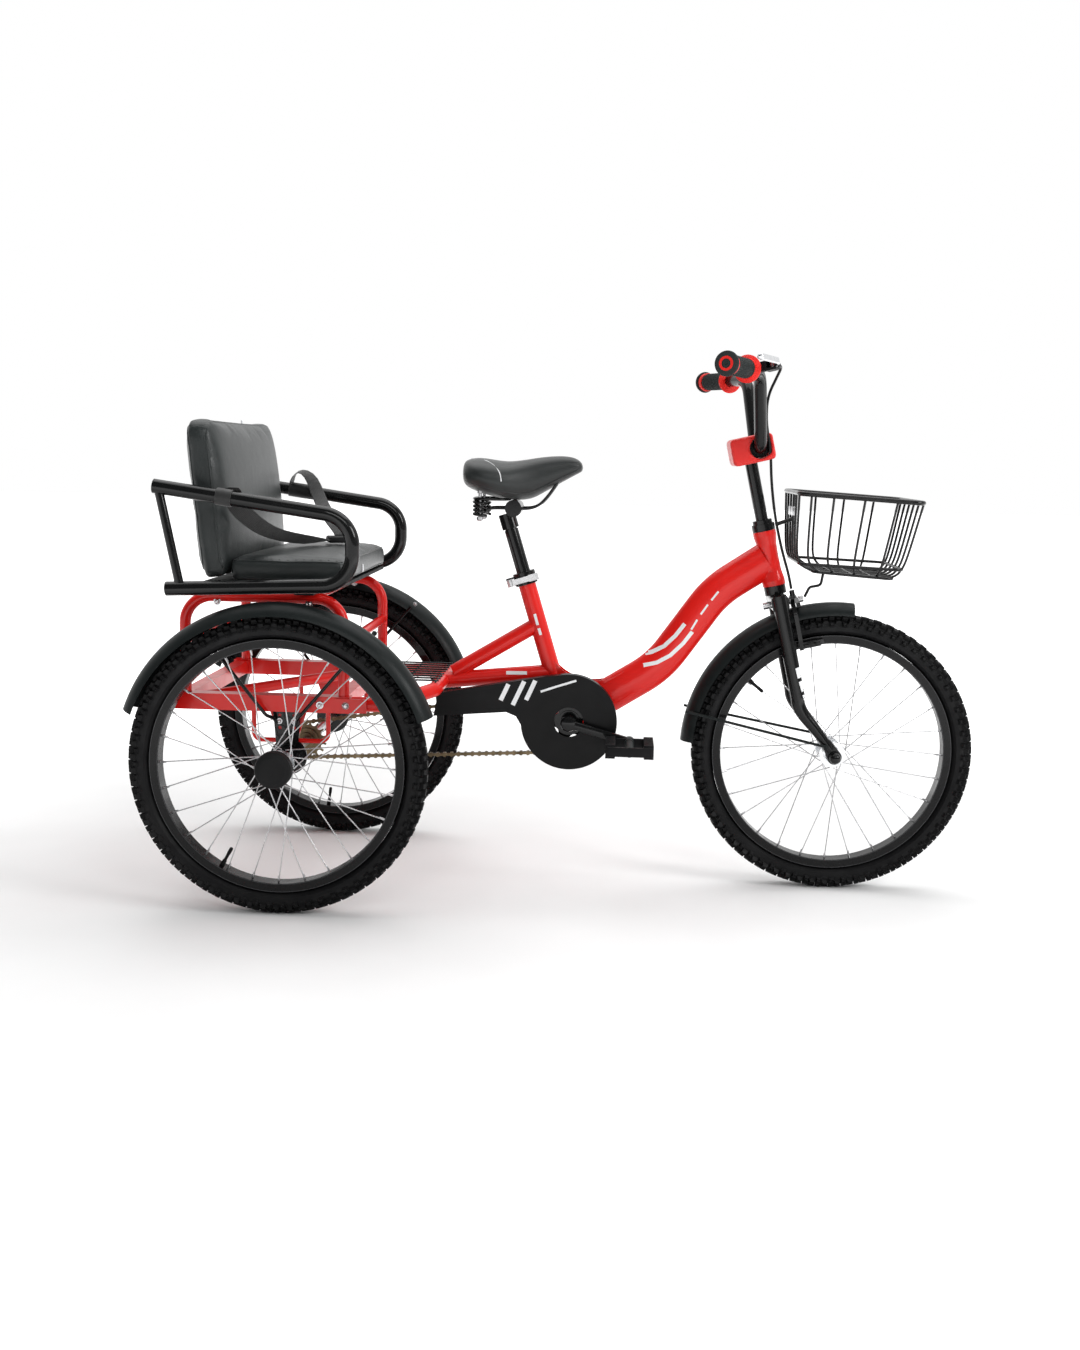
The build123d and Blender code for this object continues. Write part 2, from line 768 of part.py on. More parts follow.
def seat_frame():
    """Steel frame under the cushions: cross bars on the rack, a base board and the back uprights."""
    bar_low = rack_top_z + rack_radius + 0.2
    bar_high = seat_bottom_z - board_thickness - 0.2
    solids = []
    for x in seat_bar_x:
        solids.append(box((x - 16, -armrest_side + armrest_radius + 0.5, bar_low), (x + 16,
                                                                                    armrest_side - armrest_radius - 0.5, bar_high)))
    solids.append(box((seat_rear_x - 40, -seat_half_width + 12, bar_high), (seat_front_x - 8,
                                                                            seat_half_width - 12, bar_high + board_thickness)))
    return fuse(solids)


def armrest(side):
    y = side * armrest_side
    path = [(-206, y, 716), (124, y, 671), (124, y, 560), (-188, y, 547)]
    radii = [52, 52]
    bore = armrest_radius - tube_wall
    solid = bent_tube(path, radii, armrest_radius) + rod((-197, y, 706), (-165, y, 552), 7.5)
    return solid - bent_tube(path, radii, bore)


def belt_strip(points, width, thickness):
    """Flat webbing through a few points, wide along the local cross direction."""
    links = []
    for start, end in zip(points, points[1:]):
        start = Vector(start)
        end = Vector(end)
        run = end - start
        cross = Vector(1, 0, 0)
        plane = Plane(origin=start, x_dir=cross - run * (cross.dot(run) / run.dot(run)), z_dir=run)
        links.append(plane * Box(width, thickness, run.length, align=(Align.CENTER, Align.CENTER,
                                                                      Align.MIN)))
    return fuse(links)


def lap_belt():
    """Two webbing straps from the armrests to the buckle over the seat's front."""
    near = [(-78, -243, 690), (-30, -130, 650), (22, -20, 612)]
    far = [(-66, 243, 690), (-18, 190, 640), (38, 60, 612)]
    strips = [belt_strip(near, 34, 2.0), belt_strip(far, 34, 2.0)]
    return Compound(children=strips)


# Saddle

saddle_clamp_up = 103.0


def seat_post():
    top = saddle_clamp_up
    post = rod((0, 0, -150), (0, 0, top - 22), seat_post_radius) - rod((0, 0, -151), (0, 0, top - 30),
                                                                       seat_post_radius - 2)
    post += rod((0, 0, top - 22), (0, 0, top + 8), 11.0)
    return seat_plane * post


rail_wire = 3.5
rail_gap = 22.0


barrel_forward = 12.0
barrel_up = 18.0


def saddle_clamp():
    """Clamp on the post's top with a cross barrel that holds the saddle's two rails."""
    top = seat_plane.from_local_coords(Vector(0, 0, saddle_clamp_up))
    solid = seat_plane * rod((0, 0, saddle_clamp_up - 20), (0, 0, saddle_clamp_up + 8), 15.5)
    solid += Pos(top + Vector(barrel_forward, 0, barrel_up)) * disc(15.0, -36, 36)
    bore_top = saddle_clamp_up + 8 + running_gap
    solid -= seat_plane * rod((0, 0, saddle_clamp_up - 30), (0, 0, bore_top), 11.0 + running_gap)
    for side in (-1, 1):
        start = top + Vector(-40, side * (rail_gap + 8), barrel_up)
        solid -= rod(start, start + Vector(90, 0, 0), rail_wire + running_gap)
    return solid


# X, half width, top and underside of the saddle at places along it, from the top of the post
saddle_stations = ((-84, 44, 98, 64), (-62, 76, 107, 45), (-30, 81, 104, 32), (6, 66, 100, 26),
                   (37, 47, 105, 26), (70, 34, 111, 44), (108, 25, 113, 67), (134, 13, 100, 84))
saddle_lid = 14.0
saddle_skirt = 8.0
saddle_coil_x = -47.0
saddle_coil_side = 40.0


def saddle_springs():
    """Rails and coil springs under the saddle."""
    top = seat_plane.from_local_coords(Vector(0, 0, saddle_clamp_up))
    coil_turns = 4
    coil_pitch = 7.0
    solids = []
    for side in (-1, 1):
        y = side * (rail_gap + 8)
        coil = Vector(saddle_coil_x, side * saddle_coil_side, 0)
        route = [coil + Vector(0, 0, 2), Vector(-30, y, barrel_up), Vector(50, y, barrel_up), Vector(96,
                                                                                                     side * 12, 76)]
        rail = bent_tube([top + point for point in route], [12, 24], rail_wire)
        pillar = rod(top + coil, top + coil + Vector(0, 0, 88), 4.0)
        solids.append(rail + pillar)
        for turn in range(coil_turns):
            height = 8 + turn * coil_pitch
            solids.append(Pos(top + coil + Vector(0, 0, height)) * Torus(11.0, 2.4))
    return Compound(children=solids)


def saddle():
    """Padded shell with a skirt that hangs round the clamp and springs."""
    top = seat_plane.from_local_coords(Vector(0, 0, saddle_clamp_up))

    def station(along, half, high, low):
        depth = high - low
        plane = Plane(origin=top + Vector(along, 0, (high + low) / 2), x_dir=(0, 1, 0), z_dir=(1, 0, 0))
        return plane * RectangleRounded(2 * half, depth, min(half, depth / 2) * 0.75)

    outer = [station(*row) for row in saddle_stations]
    hollow = []
    for along, half, high, low in saddle_stations[1:-1]:
        hollow.append(station(along, half - saddle_skirt, high - saddle_lid, low - saddle_lid))
    return loft(outer) - loft(hollow)


collar_length = 22.0


def seat_collar():
    """Split clamp round the top of the seat tube with two ears behind it."""
    ring = rod((0, 0, -collar_length), (0, 0, 1), 20.5)
    ring += box((-34, -9, -collar_length + 3), (-14, 9, -3))
    ring += rod((-25, -9, -collar_length / 2 - 0.5), (-25, -12, -collar_length / 2 - 0.5), 5.5)
    ring += rod((-25, 9, -collar_length / 2 - 0.5), (-25, 15, -collar_length / 2 - 0.5), 7.0)
    ring -= rod((0, 0, -collar_length - 1), (0, 0, 0.3), seat_tube_radius + running_gap)
    ring -= rod((0, 0, -1), (0, 0, 3), seat_post_radius + 0.4)
    ring -= box((-40, -1.2, -collar_length - 1), (-10, 1.2, 3))
    return seat_plane * ring


def quick_release_lever():
    """Cam lever beside the collar; it swings out about an axis along the seat tube."""
    cam = rod((-25, -20, -18), (-25, -20, -5), 7.5)
    blade = box((-25, -27.0, -16.5), (14, -22.5, -6.5))
    tip = box((8, -28, -17.5), (26, -22.5, -5.5))
    return seat_plane * (cam + blade + tip)


# Fork and steering

def fork():
    """Steerer, crown, two tapered legs bent forward, and slotted-off dropout plates."""
    steerer_top = head_low + head_length + 20
    solid = rod((0, 0, crown_high - 1), (0, 0, steerer_top), steerer_radius)
    solid += rod((0, 0, crown_high - 1), (0, 0, head_low - 0.6), head_flare - 1)
    crown = box((-15, -fork_leg_side - 4, crown_low), (15, fork_leg_side + 4, crown_high))
    crown = fillet(crown.edges().filter_by(Axis.Y), 7)
    solid += crown
    for side in (-1, 1):
        y = side * fork_leg_side
        solid += Pos(0, y, 0) * rod((0, 0, 120), (0, 0, crown_high), fork_leg_top_radius)
        path = bent_path([(0, y, 120), (0, y, 96), (fork_rake - 3, y, 14)], [120 * 0.28])
        sections = []
        for share in (0.0, 0.25, 0.5, 0.75, 1.0):
            radius = fork_leg_top_radius + (fork_leg_low_radius - fork_leg_top_radius) * share
            sections.append(Plane(origin=path @ share, z_dir=path % share) * Circle(radius))
        solid += loft(sections)
        y0, y1 = sorted((side * (fork_leg_side - dropout_thickness / 2),
                         side * (fork_leg_side + dropout_thickness / 2)))
        ends = Pos(fork_rake, 0) * Circle(13), Pos(fork_rake - 8, 26) * Circle(9)
        plate = make_hull(ends[0].edges() + ends[1].edges())
        solid += Plane(origin=(0, y1, 0), x_dir=(1, 0, 0), z_dir=(0, -1, 0)) * extrude(plate,
                                                                                       dropout_thickness)
    solid -= Pos(fork_rake, 0, 0) * disc(front_axle_radius + running_gap, -80, 80)
    solid -= rod((-30, 0, caliper_up), (30, 0, caliper_up), caliper_bolt_radius + running_gap)
    solid -= rod((0, 0, steerer_top - 130), (0, 0, steerer_top + 1), stem_radius + running_gap)
    return steering * solid


caliper_up = 287.0
caliper_bolt_radius = 3.0


def headset_nut():
    low = head_low + head_length + 0.8
    solid = rod((0, 0, low), (0, 0, low + 12), head_flare)
    solid += rod((0, 0, low + 12), (0, 0, low + 19), 17.5)
    solid -= rod((0, 0, low - 1), (0, 0, low + 30), steerer_radius + running_gap)
    return steering * solid


def stem():
    """Quill stem with a clamp barrel for the handlebar."""
    steerer_top = head_low + head_length + 20
    solid = rod((0, 0, steerer_top - 110), (0, 0, clamp_up - 4), stem_radius)
    clamp = Pos(clamp_forward, 0, clamp_up) * disc(17.0, -27, 27)
    ends = Circle(stem_radius + 1), Pos(clamp_forward, 0) * Circle(15)
    neck = Pos(0, 0, clamp_up - 17) * extrude(make_hull(ends[0].edges() + ends[1].edges()), 30)
    solid += clamp + neck
    solid -= Pos(clamp_forward, 0, clamp_up) * disc(bar_radius + running_gap, -40, 40)
    return steering * solid


bar_corner = Vector(32, 122, 692)
bar_end = Vector(-33.5, 291, 710)


def bar_points():
    middle = Vector(clamp_forward, 0, clamp_up)
    elbow = Vector(clamp_forward, 50, clamp_up)
    right = [Vector(p.X, -p.Y, p.Z) for p in (bar_end, bar_corner, elbow)]
    return right + [elbow, bar_corner, bar_end]


def handlebar():
    return steering * bent_tube(bar_points(), [48, 30, 30, 48], bar_radius, bar_bore)


def grip_frame(side):
    """Frame on the bar's end: Z out along the grip, X forward."""
    corner = Vector(bar_corner.X, side * bar_corner.Y, bar_corner.Z)
    end = Vector(bar_end.X, side * bar_end.Y, bar_end.Z)
    out = (end - corner).normalized()
    forward = Vector(out.Y * side, -out.X * side, 0).normalized()
    return Plane(origin=end, x_dir=forward, z_dir=out)


def grips():
    solids = []
    for side in (-1, 1):
        grip = rod((0, 0, -grip_length), (0, 0, 4), grip_radius)
        grip += rod((0, 0, -2), (0, 0, 4), grip_radius + 4)
        grip += rod((0, 0, -grip_length), (0, 0, -grip_length + 6), grip_flange_radius)
        grip -= rod((0, 0, -grip_length - 1), (0, 0, 0.3), bar_radius + running_gap)
        solids.append(steering * (grip_frame(side) * grip))
    return Compound(children=solids)


def bar_pad():
    """Soft cover round the stem clamp, open below for the stem and at the sides for the bar."""
    low = clamp_up - 24
    high = clamp_up + 24
    pad = box((-34, -46, low), (42, 46, high))
    pad = fillet(pad.edges().filter_by(Axis.Y), 7)
    pad -= Pos(clamp_forward, 0, clamp_up) * disc(18.5, -60, 60)
    pad -= box((-13.5, -17, low - 1), (36, 17, clamp_up + 15))
    for side in (-1, 1):
        start = Vector(clamp_forward, side * 30, clamp_up)
        corner = Vector(clamp_forward, side * 50, clamp_up)
        end = Vector(bar_corner.X, side * bar_corner.Y, bar_corner.Z)
        pad -= bent_tube([start, corner, end], [14], bar_radius + 1.5)
    cable_points = brake_cable_points()
    pad -= bent_tube(cable_points, cord_radii(cable_points), cable_radius + 1.0)
    return steering * pad


lever_at = -grip_length - 14.0


def lever_bracket():
    """Clamp on the bar inboard of the right grip, with the lever's pivot in front."""
    solid = rod((0, 0, lever_at - 8), (0, 0, lever_at + 8), 16.5)
    solid += box((8, -8, lever_at - 7), (30, 8, lever_at + 7))
    solid += box((28, -9.5, lever_at - 12), (46, 9.5, lever_at + 12))
    solid += rod((40, 0, lever_at - 24), (40, 0, lever_at - 10), 5.5)
    solid -= rod((0, 0, lever_at - 20), (0, 0, lever_at + 20), bar_radius + running_gap)
    solid -= box((30, -5.3, lever_at - 8), (60, 5.3, lever_at + 20))
    pin = rod((lever_pivot_forward, -9.5, lever_at), (lever_pivot_forward, 9.5, lever_at), 2.5)
    return steering * (grip_frame(-1) * (solid + pin))


lever_pivot_forward = 39.0
lever_reach = 118.0


def brake_lever():
    """Alloy blade that pivots in the bracket and runs out in front of the grip."""
    half = 5.0
    knuckle = rod((lever_pivot_forward, -half, lever_at), (lever_pivot_forward, half, lever_at), 6.5)
    arm = bent_path([(lever_pivot_forward, 0, lever_at), (56, 0, lever_at + 24), (53, 0,
                                                                                  lever_at + lever_reach)], [30])
    plane = Plane(origin=arm @ 0, x_dir=(0, 1, 0), z_dir=arm % 0)
    blade = sweep(plane * RectangleRounded(2 * half, 5.0, 1.2), path=arm)
    tip = Pos(53, 0, lever_at + lever_reach) * Sphere(5.5)
    solid = knuckle + blade + tip
    solid -= rod((lever_pivot_forward, -20, lever_at), (lever_pivot_forward, 20, lever_at),
                 2.5 + running_gap)
    return steering * (grip_frame(-1) * solid)


def brake_cable_points():
    exit_frame = grip_frame(-1)
    exit_point = exit_frame.from_local_coords(Vector(40, 0, lever_at - 24))
    lead = exit_frame.from_local_coords(Vector(40, 0, lever_at - 50))
    route = [(40, -88, 650), (34, -50, 606), (34, -41, 560), (25, -40, 505), (20, -40, 445), (21, -39,
                                                                                              385), (25,
                                                                                                     -38, 340)]
    return [exit_point, lead] + [Vector(p) for p in route] + [Vector(25, -38, 312.5)]


def brake_cable():
    points = brake_cable_points()
    radii = cord_radii(points)
    return steering * bent_tube(points, radii, cable_radius)


def caliper_bolt():
    solid = rod((-27, 0, caliper_up), (46, 0, caliper_up), caliper_bolt_radius)
    solid += rod((-27, 0, caliper_up), (-15.3, 0, caliper_up), 6.5)
    solid += rod((37.3, 0, caliper_up), (46, 0, caliper_up), 6.0)
    solid += rod((15.3, 0, caliper_up), (19.7, 0, caliper_up), 7.0)
    return steering * solid


pad_up = 206.0
pad_gap = 2.5
pad_side = rim_width / 2 + pad_gap


def caliper_arm(side):
    """One side-pull arm about the caliper bolt, with its cable end on the right side."""
    low = 20.0 if side < 0 else 28.5
    high = low + 7.0
    reach = [(0, caliper_up), (side * 24, caliper_up + 3), (side * 43, caliper_up - 20), (side * 42,
                                                                                          pad_up + 14), (side * 40, pad_up)]
    solid = strap(reach, 12.0, low, high)
    tail = [(0, caliper_up), (-38, caliper_up + 10 if side < 0 else caliper_up - 6)]
    solid += strap(tail, 10.0, low, high)
    solid += rod((low, side * 40, pad_up), (58, side * 40, pad_up), 4.0)
    if side < 0:
        solid += rod((25, -38, caliper_up + 8), (25, -38, caliper_up + 23), 4.5)
    solid -= rod((0, 0, caliper_up), (60, 0, caliper_up), caliper_bolt_radius + running_gap)
    return steering * solid


def brake_pad(side):
    """Rubber block and its holder, clear of the rim until the lever is pulled."""
    inner = pad_side
    y0, y1 = sorted((side * inner, side * (inner + 9)))
    block = box((20, y0, pad_up - 4.5), (66, y1, pad_up + 4.5))
    s0, s1 = sorted((side * (inner + 9), side * 35.7))
    stud = box((38, s0, pad_up - 4), (50, s1, pad_up + 4))
    return steering * (block + stud)


def front_fender_and_struts():
    """The front guard and the two thin rods from its tail to the fork ends."""
    solids = []
    for side in (-1, 1):
        low = to_steering(wheelbase - 268, side * 33.5, axle_z + 72)
        outside = side * (fork_leg_side + fork_leg_low_radius + 0.8)
        high = Vector(fork_rake - 12, outside + side * 3.5, 24)
        solids.append(steering * rod(low, high, 2.5))
        solids.append(steering * rod((high.X, outside, high.Z), (high.X, high.Y, high.Z), 4.5))
    return Compound(children=[front_fender(), solids[0] + solids[1], solids[2] + solids[3]])


def front_axle_bolt():
    inside = fork_leg_side - dropout_thickness / 2
    outside = fork_leg_side + dropout_thickness / 2
    solid = disc(front_axle_radius, -outside - 10, outside + 10)
    for side in (-1, 1):
        a, b = sorted((side * (front_hub_half + 0.4), side * (inside - 0.05)))
        solid += disc(8.5, a, b)
        a, b = sorted((side * (outside + 0.1), side * (outside + 8)))
        solid += disc(9.5, a, b)
    return front_axle * solid


# Basket

basket_rear_x = wheelbase - 94.5
basket_rim_z = 728.0
basket_rim_drop = 12.0


def basket():
    """A tapered tub with an open, slightly sloping top: the outer shape of the wire basket."""
    slope = (basket_length, 0, -basket_rim_drop)
    rim_middle_point = (basket_rear_x + basket_length / 2, 0, basket_rim_z - basket_rim_drop / 2)
    rim_plane = Plane(origin=rim_middle_point, x_dir=slope, z_dir=(basket_rim_drop, 0, basket_length))
    floor_z = basket_rim_z - basket_height

    def tub(wall):
        upper = rim_plane * RectangleRounded(basket_length - 2 * wall, 2 * (basket_half_width - wall), 30)
        floor_plane = Plane(origin=(basket_rear_x + 109, 0, floor_z + wall))
        lower = floor_plane * RectangleRounded(basket_floor_length - 2 * wall,
                                               2 * (basket_floor_half - wall), 24)
        return loft([lower, upper])

    return tub(0) - tub(basket_wall)


def basket_supports():
    """Black wire from the headset to the basket's back, and the stay under its floor."""
    nut_low = head_low + head_length + 0.8
    start = at_steering(21.5, 0, nut_low + 6)
    rear_face = basket_rear_x + 9
    arm = bent_tube([start, Vector(rear_face, 0, start.Z + 12), Vector(rear_face + 0.5, 0, start.Z + 26)], [8], 3.5)
    bolt = at_steering(48.8, 0, caliper_up)
    floor_z = basket_rim_z - basket_height
    route = [bolt + Vector(0, 0, 2), bolt + Vector(8, 0, 20), Vector(rear_face + 53, 0, bolt.Z + 24),
             Vector(rear_face + 58, 0, floor_z - 0.3)]
    return Compound(children=[arm, bent_tube(route, [8, 8], 2.5)])


# Chain guard

def guard_outline(shrink):
    x = bracket_x
    z = bracket_z
    disc_face = Pos(x, z) * Circle(guard_radius - shrink)
    end = 6 if shrink else 0
    tail = make_face(Polyline((x - 238 - end, z + 46.5 - shrink), (x - 43, z + 82.5 - shrink),
                              (x + 2, z + 87 - shrink), (x + 2, z), (x - 84 + shrink, z - 12),
                              (x - 96, z + 8 + shrink), (x - 114, z + 15.1 + shrink),
                              (x - 246 - end, z + 4.1 + shrink), close=True))
    return disc_face + tail


def chain_guard():
    """Pressed cover over the chainring and the front of the chain, open towards the bike."""
    def pressed(shrink, low, high):
        face = Plane(origin=(0, high, 0), x_dir=(1, 0, 0), z_dir=(0, -1, 0)) * guard_outline(shrink)
        return extrude(face, high - low)
    shell = pressed(0, guard_face_side, guard_face_side + guard_depth)
    shell -= pressed(sheet_wall, guard_face_side + sheet_wall, guard_face_side + guard_depth + 1)
    shell -= Pos(bracket_x, 0, bracket_z) * disc(27.0, guard_face_side - 1, guard_face_side + 4)
    shell -= box((bracket_x - 100, guard_face_side + sheet_wall, bracket_z - 78),
                 (bracket_x - 28, guard_face_side + 30, bracket_z - 44))
    return shell


def build():
    nodes = {}
    nodes["front_frame"] = front_frame()
    nodes["rear_frame"] = rear_frame()
    nodes["rack"] = rack()
    nodes["footrest_grid"] = footrest_grid()
    nodes["bearing_carriers"] = bearing_carriers()
    nodes["rear_fender_right"] = rear_fender(-1)
    nodes["rear_fender_left"] = rear_fender(1)
    nodes["fender_stays"] = fender_stays()
    nodes["seat_cushion"] = seat_cushion()
    nodes["back_cushion"] = back_cushion()
    nodes["seat_frame"] = seat_frame()
    nodes["armrest_right"] = armrest(-1)
    nodes["armrest_left"] = armrest(1)
    nodes["lap_belt"] = lap_belt()
    nodes["chain_guard"] = chain_guard()
    nodes["seat_collar"] = seat_collar()
    nodes["quick_release_lever"] = quick_release_lever()
    nodes["seat_post"] = seat_post()
    nodes["saddle_clamp"] = saddle_clamp()
    nodes["saddle_springs"] = saddle_springs()
    nodes["saddle"] = saddle()
    nodes["fork"] = fork()
    nodes["headset_nut"] = headset_nut()
    nodes["stem"] = stem()
    nodes["handlebar"] = handlebar()
    nodes["bar_pad"] = bar_pad()
    nodes["grips"] = grips()
    nodes["lever_bracket"] = lever_bracket()
    nodes["brake_lever"] = brake_lever()
    nodes["brake_cable"] = brake_cable()
    nodes["caliper_bolt"] = caliper_bolt()
    nodes["caliper_arm_right"] = caliper_arm(-1)
    nodes["caliper_arm_left"] = caliper_arm(1)
    nodes["brake_pad_right"] = brake_pad(-1)
    nodes["brake_pad_left"] = brake_pad(1)
    nodes["front_fender"] = front_fender_and_struts()
    nodes["front_axle"] = front_axle_bolt()
    nodes["basket"] = basket()
    nodes["basket_supports"] = basket_supports()
    nodes.update(front_wheel())
    nodes.update(rear_wheel(-1, rear_axle_radius + running_gap / 2))
    nodes.update(rear_wheel(1, rear_axle_radius - tube_wall))
    nodes["rear_hub_left"] += rear_axle_half(1, axle_split)
    nodes["rear_axle"] = rear_axle_half(-1, axle_split - seat_gap)
    nodes["freewheel"] = freewheel()
    nodes["crank"] = crank()
    nodes["chainring"] = chainring()
    nodes["pedal_right"] = pedal(-1)
    nodes["pedal_left"] = pedal(1)
    nodes["chain"] = chain()
    return nodes


def write_parts(nodes):
    os.makedirs("parts", exist_ok=True)
    for name, shape in nodes.items():
        export_step(Pos(-middle_x, 0, 0) * shape, f"parts/{name}.step")


write_parts(build())
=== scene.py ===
from math import asin, atan2, cos, pi, radians, sin

import bmesh
import bpy
from mathutils import Matrix, Vector


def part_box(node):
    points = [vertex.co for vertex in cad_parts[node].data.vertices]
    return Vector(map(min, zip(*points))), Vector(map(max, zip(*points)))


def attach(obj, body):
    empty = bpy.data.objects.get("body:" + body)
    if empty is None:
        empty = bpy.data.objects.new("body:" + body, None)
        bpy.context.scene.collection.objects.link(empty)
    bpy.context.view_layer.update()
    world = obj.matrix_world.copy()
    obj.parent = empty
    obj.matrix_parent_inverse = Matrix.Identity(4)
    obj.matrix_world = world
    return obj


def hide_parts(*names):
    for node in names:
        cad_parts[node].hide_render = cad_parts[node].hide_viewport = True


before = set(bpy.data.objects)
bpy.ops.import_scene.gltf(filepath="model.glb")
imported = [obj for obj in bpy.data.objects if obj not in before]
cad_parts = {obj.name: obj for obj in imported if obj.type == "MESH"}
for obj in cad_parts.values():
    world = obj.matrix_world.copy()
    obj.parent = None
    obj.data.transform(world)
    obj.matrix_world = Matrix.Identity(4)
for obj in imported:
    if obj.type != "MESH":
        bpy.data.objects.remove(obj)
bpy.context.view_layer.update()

# Looks for an adult tricycle with a rear passenger seat.
# Shapes are made in millimetres on the maker's axes: X forward from the rear axle, Y to the rider's left,
# Z up from the ground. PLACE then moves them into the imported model's metres.

MILLIMETRE = 0.001


def middle(node):
    low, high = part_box(node)
    return (low + high) / 2


rear_axle_x = middle("rear_tyre_right").x
PLACE = Matrix.Translation((rear_axle_x, 0, 0)) @ Matrix.Scale(MILLIMETRE, 4)
AXLE_Z = middle("front_tyre").z / MILLIMETRE
FRONT_AXLE_X = (middle("front_tyre").x - rear_axle_x) / MILLIMETRE
REAR_SIDE = -middle("rear_tyre_right").y / MILLIMETRE
HEAD_TILT = radians(13.2)
FORK_RAKE = 43.4
COLUMN_FOOT = Vector((FRONT_AXLE_X - FORK_RAKE * cos(HEAD_TILT), 0, AXLE_Z - FORK_RAKE * sin(HEAD_TILT)))
COLUMN = Matrix.Translation(COLUMN_FOOT) @ Matrix.Rotation(-HEAD_TILT, 4, "Y")
BRACKET = Vector((480, 0, 303.5))
SADDLE_POINT = Vector((358.8, 0, 666.1))


def metres(point):
    return PLACE @ Vector(point)


# Making pieces

def placed(name, data):
    """A new object for this data, put in the scene."""
    made = bpy.data.objects.new(name, data)
    bpy.context.scene.collection.objects.link(made)
    return made


def meshed(name, bm):
    """Turns a bmesh into a mesh and frees it."""
    mesh = bpy.data.meshes.new(name)
    bm.to_mesh(mesh)
    bm.free()
    return mesh


def evaluated(holder):
    """The object's mesh with its modifiers or curve settings applied."""
    return bpy.data.meshes.new_from_object(holder.evaluated_get(bpy.context.evaluated_depsgraph_get()))


def link(name, mesh, body, materials):
    made = placed(name, mesh)
    for material in materials:
        mesh.materials.append(material)
    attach(made, body)
    return made


def piece(name, bm, body, slot, *materials, sharp=35, normals=True):
    """Turns a bmesh in millimetres into a piece that rides on a body."""
    if normals:
        bmesh.ops.recalc_face_normals(bm, faces=bm.faces)
    bm.transform(PLACE)
    mesh = meshed(name, bm)
    mesh.shade_smooth()
    mesh.set_sharp_from_angle(angle=radians(sharp))
    return link(name, mesh, body, materials or [SLOT_FINISH[slot]])


def wires(name, runs, radius, body, slot, material=None, order=3, sides=3):
    """Round wires through the given points. A run is (points, closed)."""
    curve = bpy.data.curves.new(name, "CURVE")
    curve.dimensions = "3D"
    curve.bevel_depth = radius * MILLIMETRE
    curve.bevel_resolution = sides
    curve.use_fill_caps = True
    curve.resolution_u = 8
    for points, closed in runs:
        spline = curve.splines.new("NURBS")
        spline.points.add(len(points) - 1)
        for slot_point, point in zip(spline.points, points):
            slot_point.co = (*metres(point), 1)
        spline.use_cyclic_u = closed
        spline.order_u = order
        spline.use_endpoint_u = not closed
    drawn = placed(name + "_line", curve)
    bpy.context.view_layer.update()
    mesh = evaluated(drawn)
    mesh.name = name
    bpy.data.objects.remove(drawn)
    merged = bmesh.new()
    merged.from_mesh(mesh)
    bmesh.ops.remove_doubles(merged, verts=merged.verts, dist=0.00001)
    bmesh.ops.recalc_face_normals(merged, faces=merged.faces)
    merged.to_mesh(mesh)
    merged.free()
    mesh.shade_smooth()
    return link(name, mesh, body, [material or SLOT_FINISH[slot]])


def block(bm, size, place, bevel=0.0, taper=1.0):
    """A box of this size at the matrix, its top face scaled by taper and its edges rounded."""
    made = bmesh.ops.create_cube(bm, size=1)["verts"]
    bmesh.ops.scale(bm, vec=size, verts=made)
    top = [v for v in made if v.co.z > 0]
    bmesh.ops.scale(bm, vec=(taper, taper, 1), verts=top)
    faces = list({f for v in made for f in v.link_faces})
    if bevel:
        edges = list({e for f in faces for e in f.edges})
        rounded = bmesh.ops.bevel(bm, geom=edges, offset=bevel, offset_type="OFFSET", segments=2,
                                  profile=0.5, affect="EDGES", material=-1)
        made = list({v for f in rounded["faces"] for v in f.verts} | {v for v in made if v.is_valid})
    bmesh.ops.transform(bm, matrix=place, verts=made)
    return made


def turned(bm, profile, place, steps=32):
    """Spins (radius, height) points about Z, then places the result."""
    verts = [bm.verts.new((r, 0, h)) for r, h in profile]
    edges = [bm.edges.new(pair) for pair in zip(verts, verts[1:])]
    bmesh.ops.spin(bm, geom=verts + edges, cent=(0, 0, 0), axis=(0, 0, 1), angle=2 * pi, steps=steps,
                   use_merge=True)
    made = reach(verts)
    bmesh.ops.remove_doubles(bm, verts=made, dist=0.01)
    made = [v for v in made if v.is_valid]
    bmesh.ops.transform(bm, matrix=place, verts=made)
    return made


def bevelled(bm, edges, offset, segments):
    return bmesh.ops.bevel(bm, geom=edges, offset=offset, segments=segments, profile=0.5, affect="EDGES",
                           material=-1)


def subdivided(made, levels=1):
    finer = made.modifiers.new("finer", "SUBSURF")
    finer.levels = levels
    finer.render_levels = levels


def smoothed(mesh, passes):
    """Relaxes every vertex towards its neighbours."""
    soft = bmesh.new()
    soft.from_mesh(mesh)
    for _ in range(passes):
        bmesh.ops.smooth_vert(soft, verts=soft.verts, factor=0.5, use_axis_x=True, use_axis_y=True,
                              use_axis_z=True)
    soft.to_mesh(mesh)
    soft.free()


def axes(x, y, z):
    """Turn whose columns are these three directions."""
    return Matrix((x, y, z)).transposed().to_4x4()


def reach(seeds):
    """Every vertex joined by edges to the seeds."""
    found = set(seeds)
    waiting = list(seeds)
    while waiting:
        vert = waiting.pop()
        for edge in vert.link_edges:
            other = edge.other_vert(vert)
            if other not in found:
                found.add(other)
                waiting.append(other)
    return list(found)


def aim(point, direction, roll=0.0):
    """Matrix that puts Z along the direction, at the point."""
    turn = Vector(direction).to_track_quat("Z", "Y").to_matrix().to_4x4()
    return Matrix.Translation(point) @ turn @ Matrix.Rotation(roll, 4, "Z")


def sideways(point, side=-1):
    return aim(point, (0, side, 0))


# Materials

def graph(name):
    material = bpy.data.materials.new(name)
    material.use_nodes = True
    return material, material.node_tree


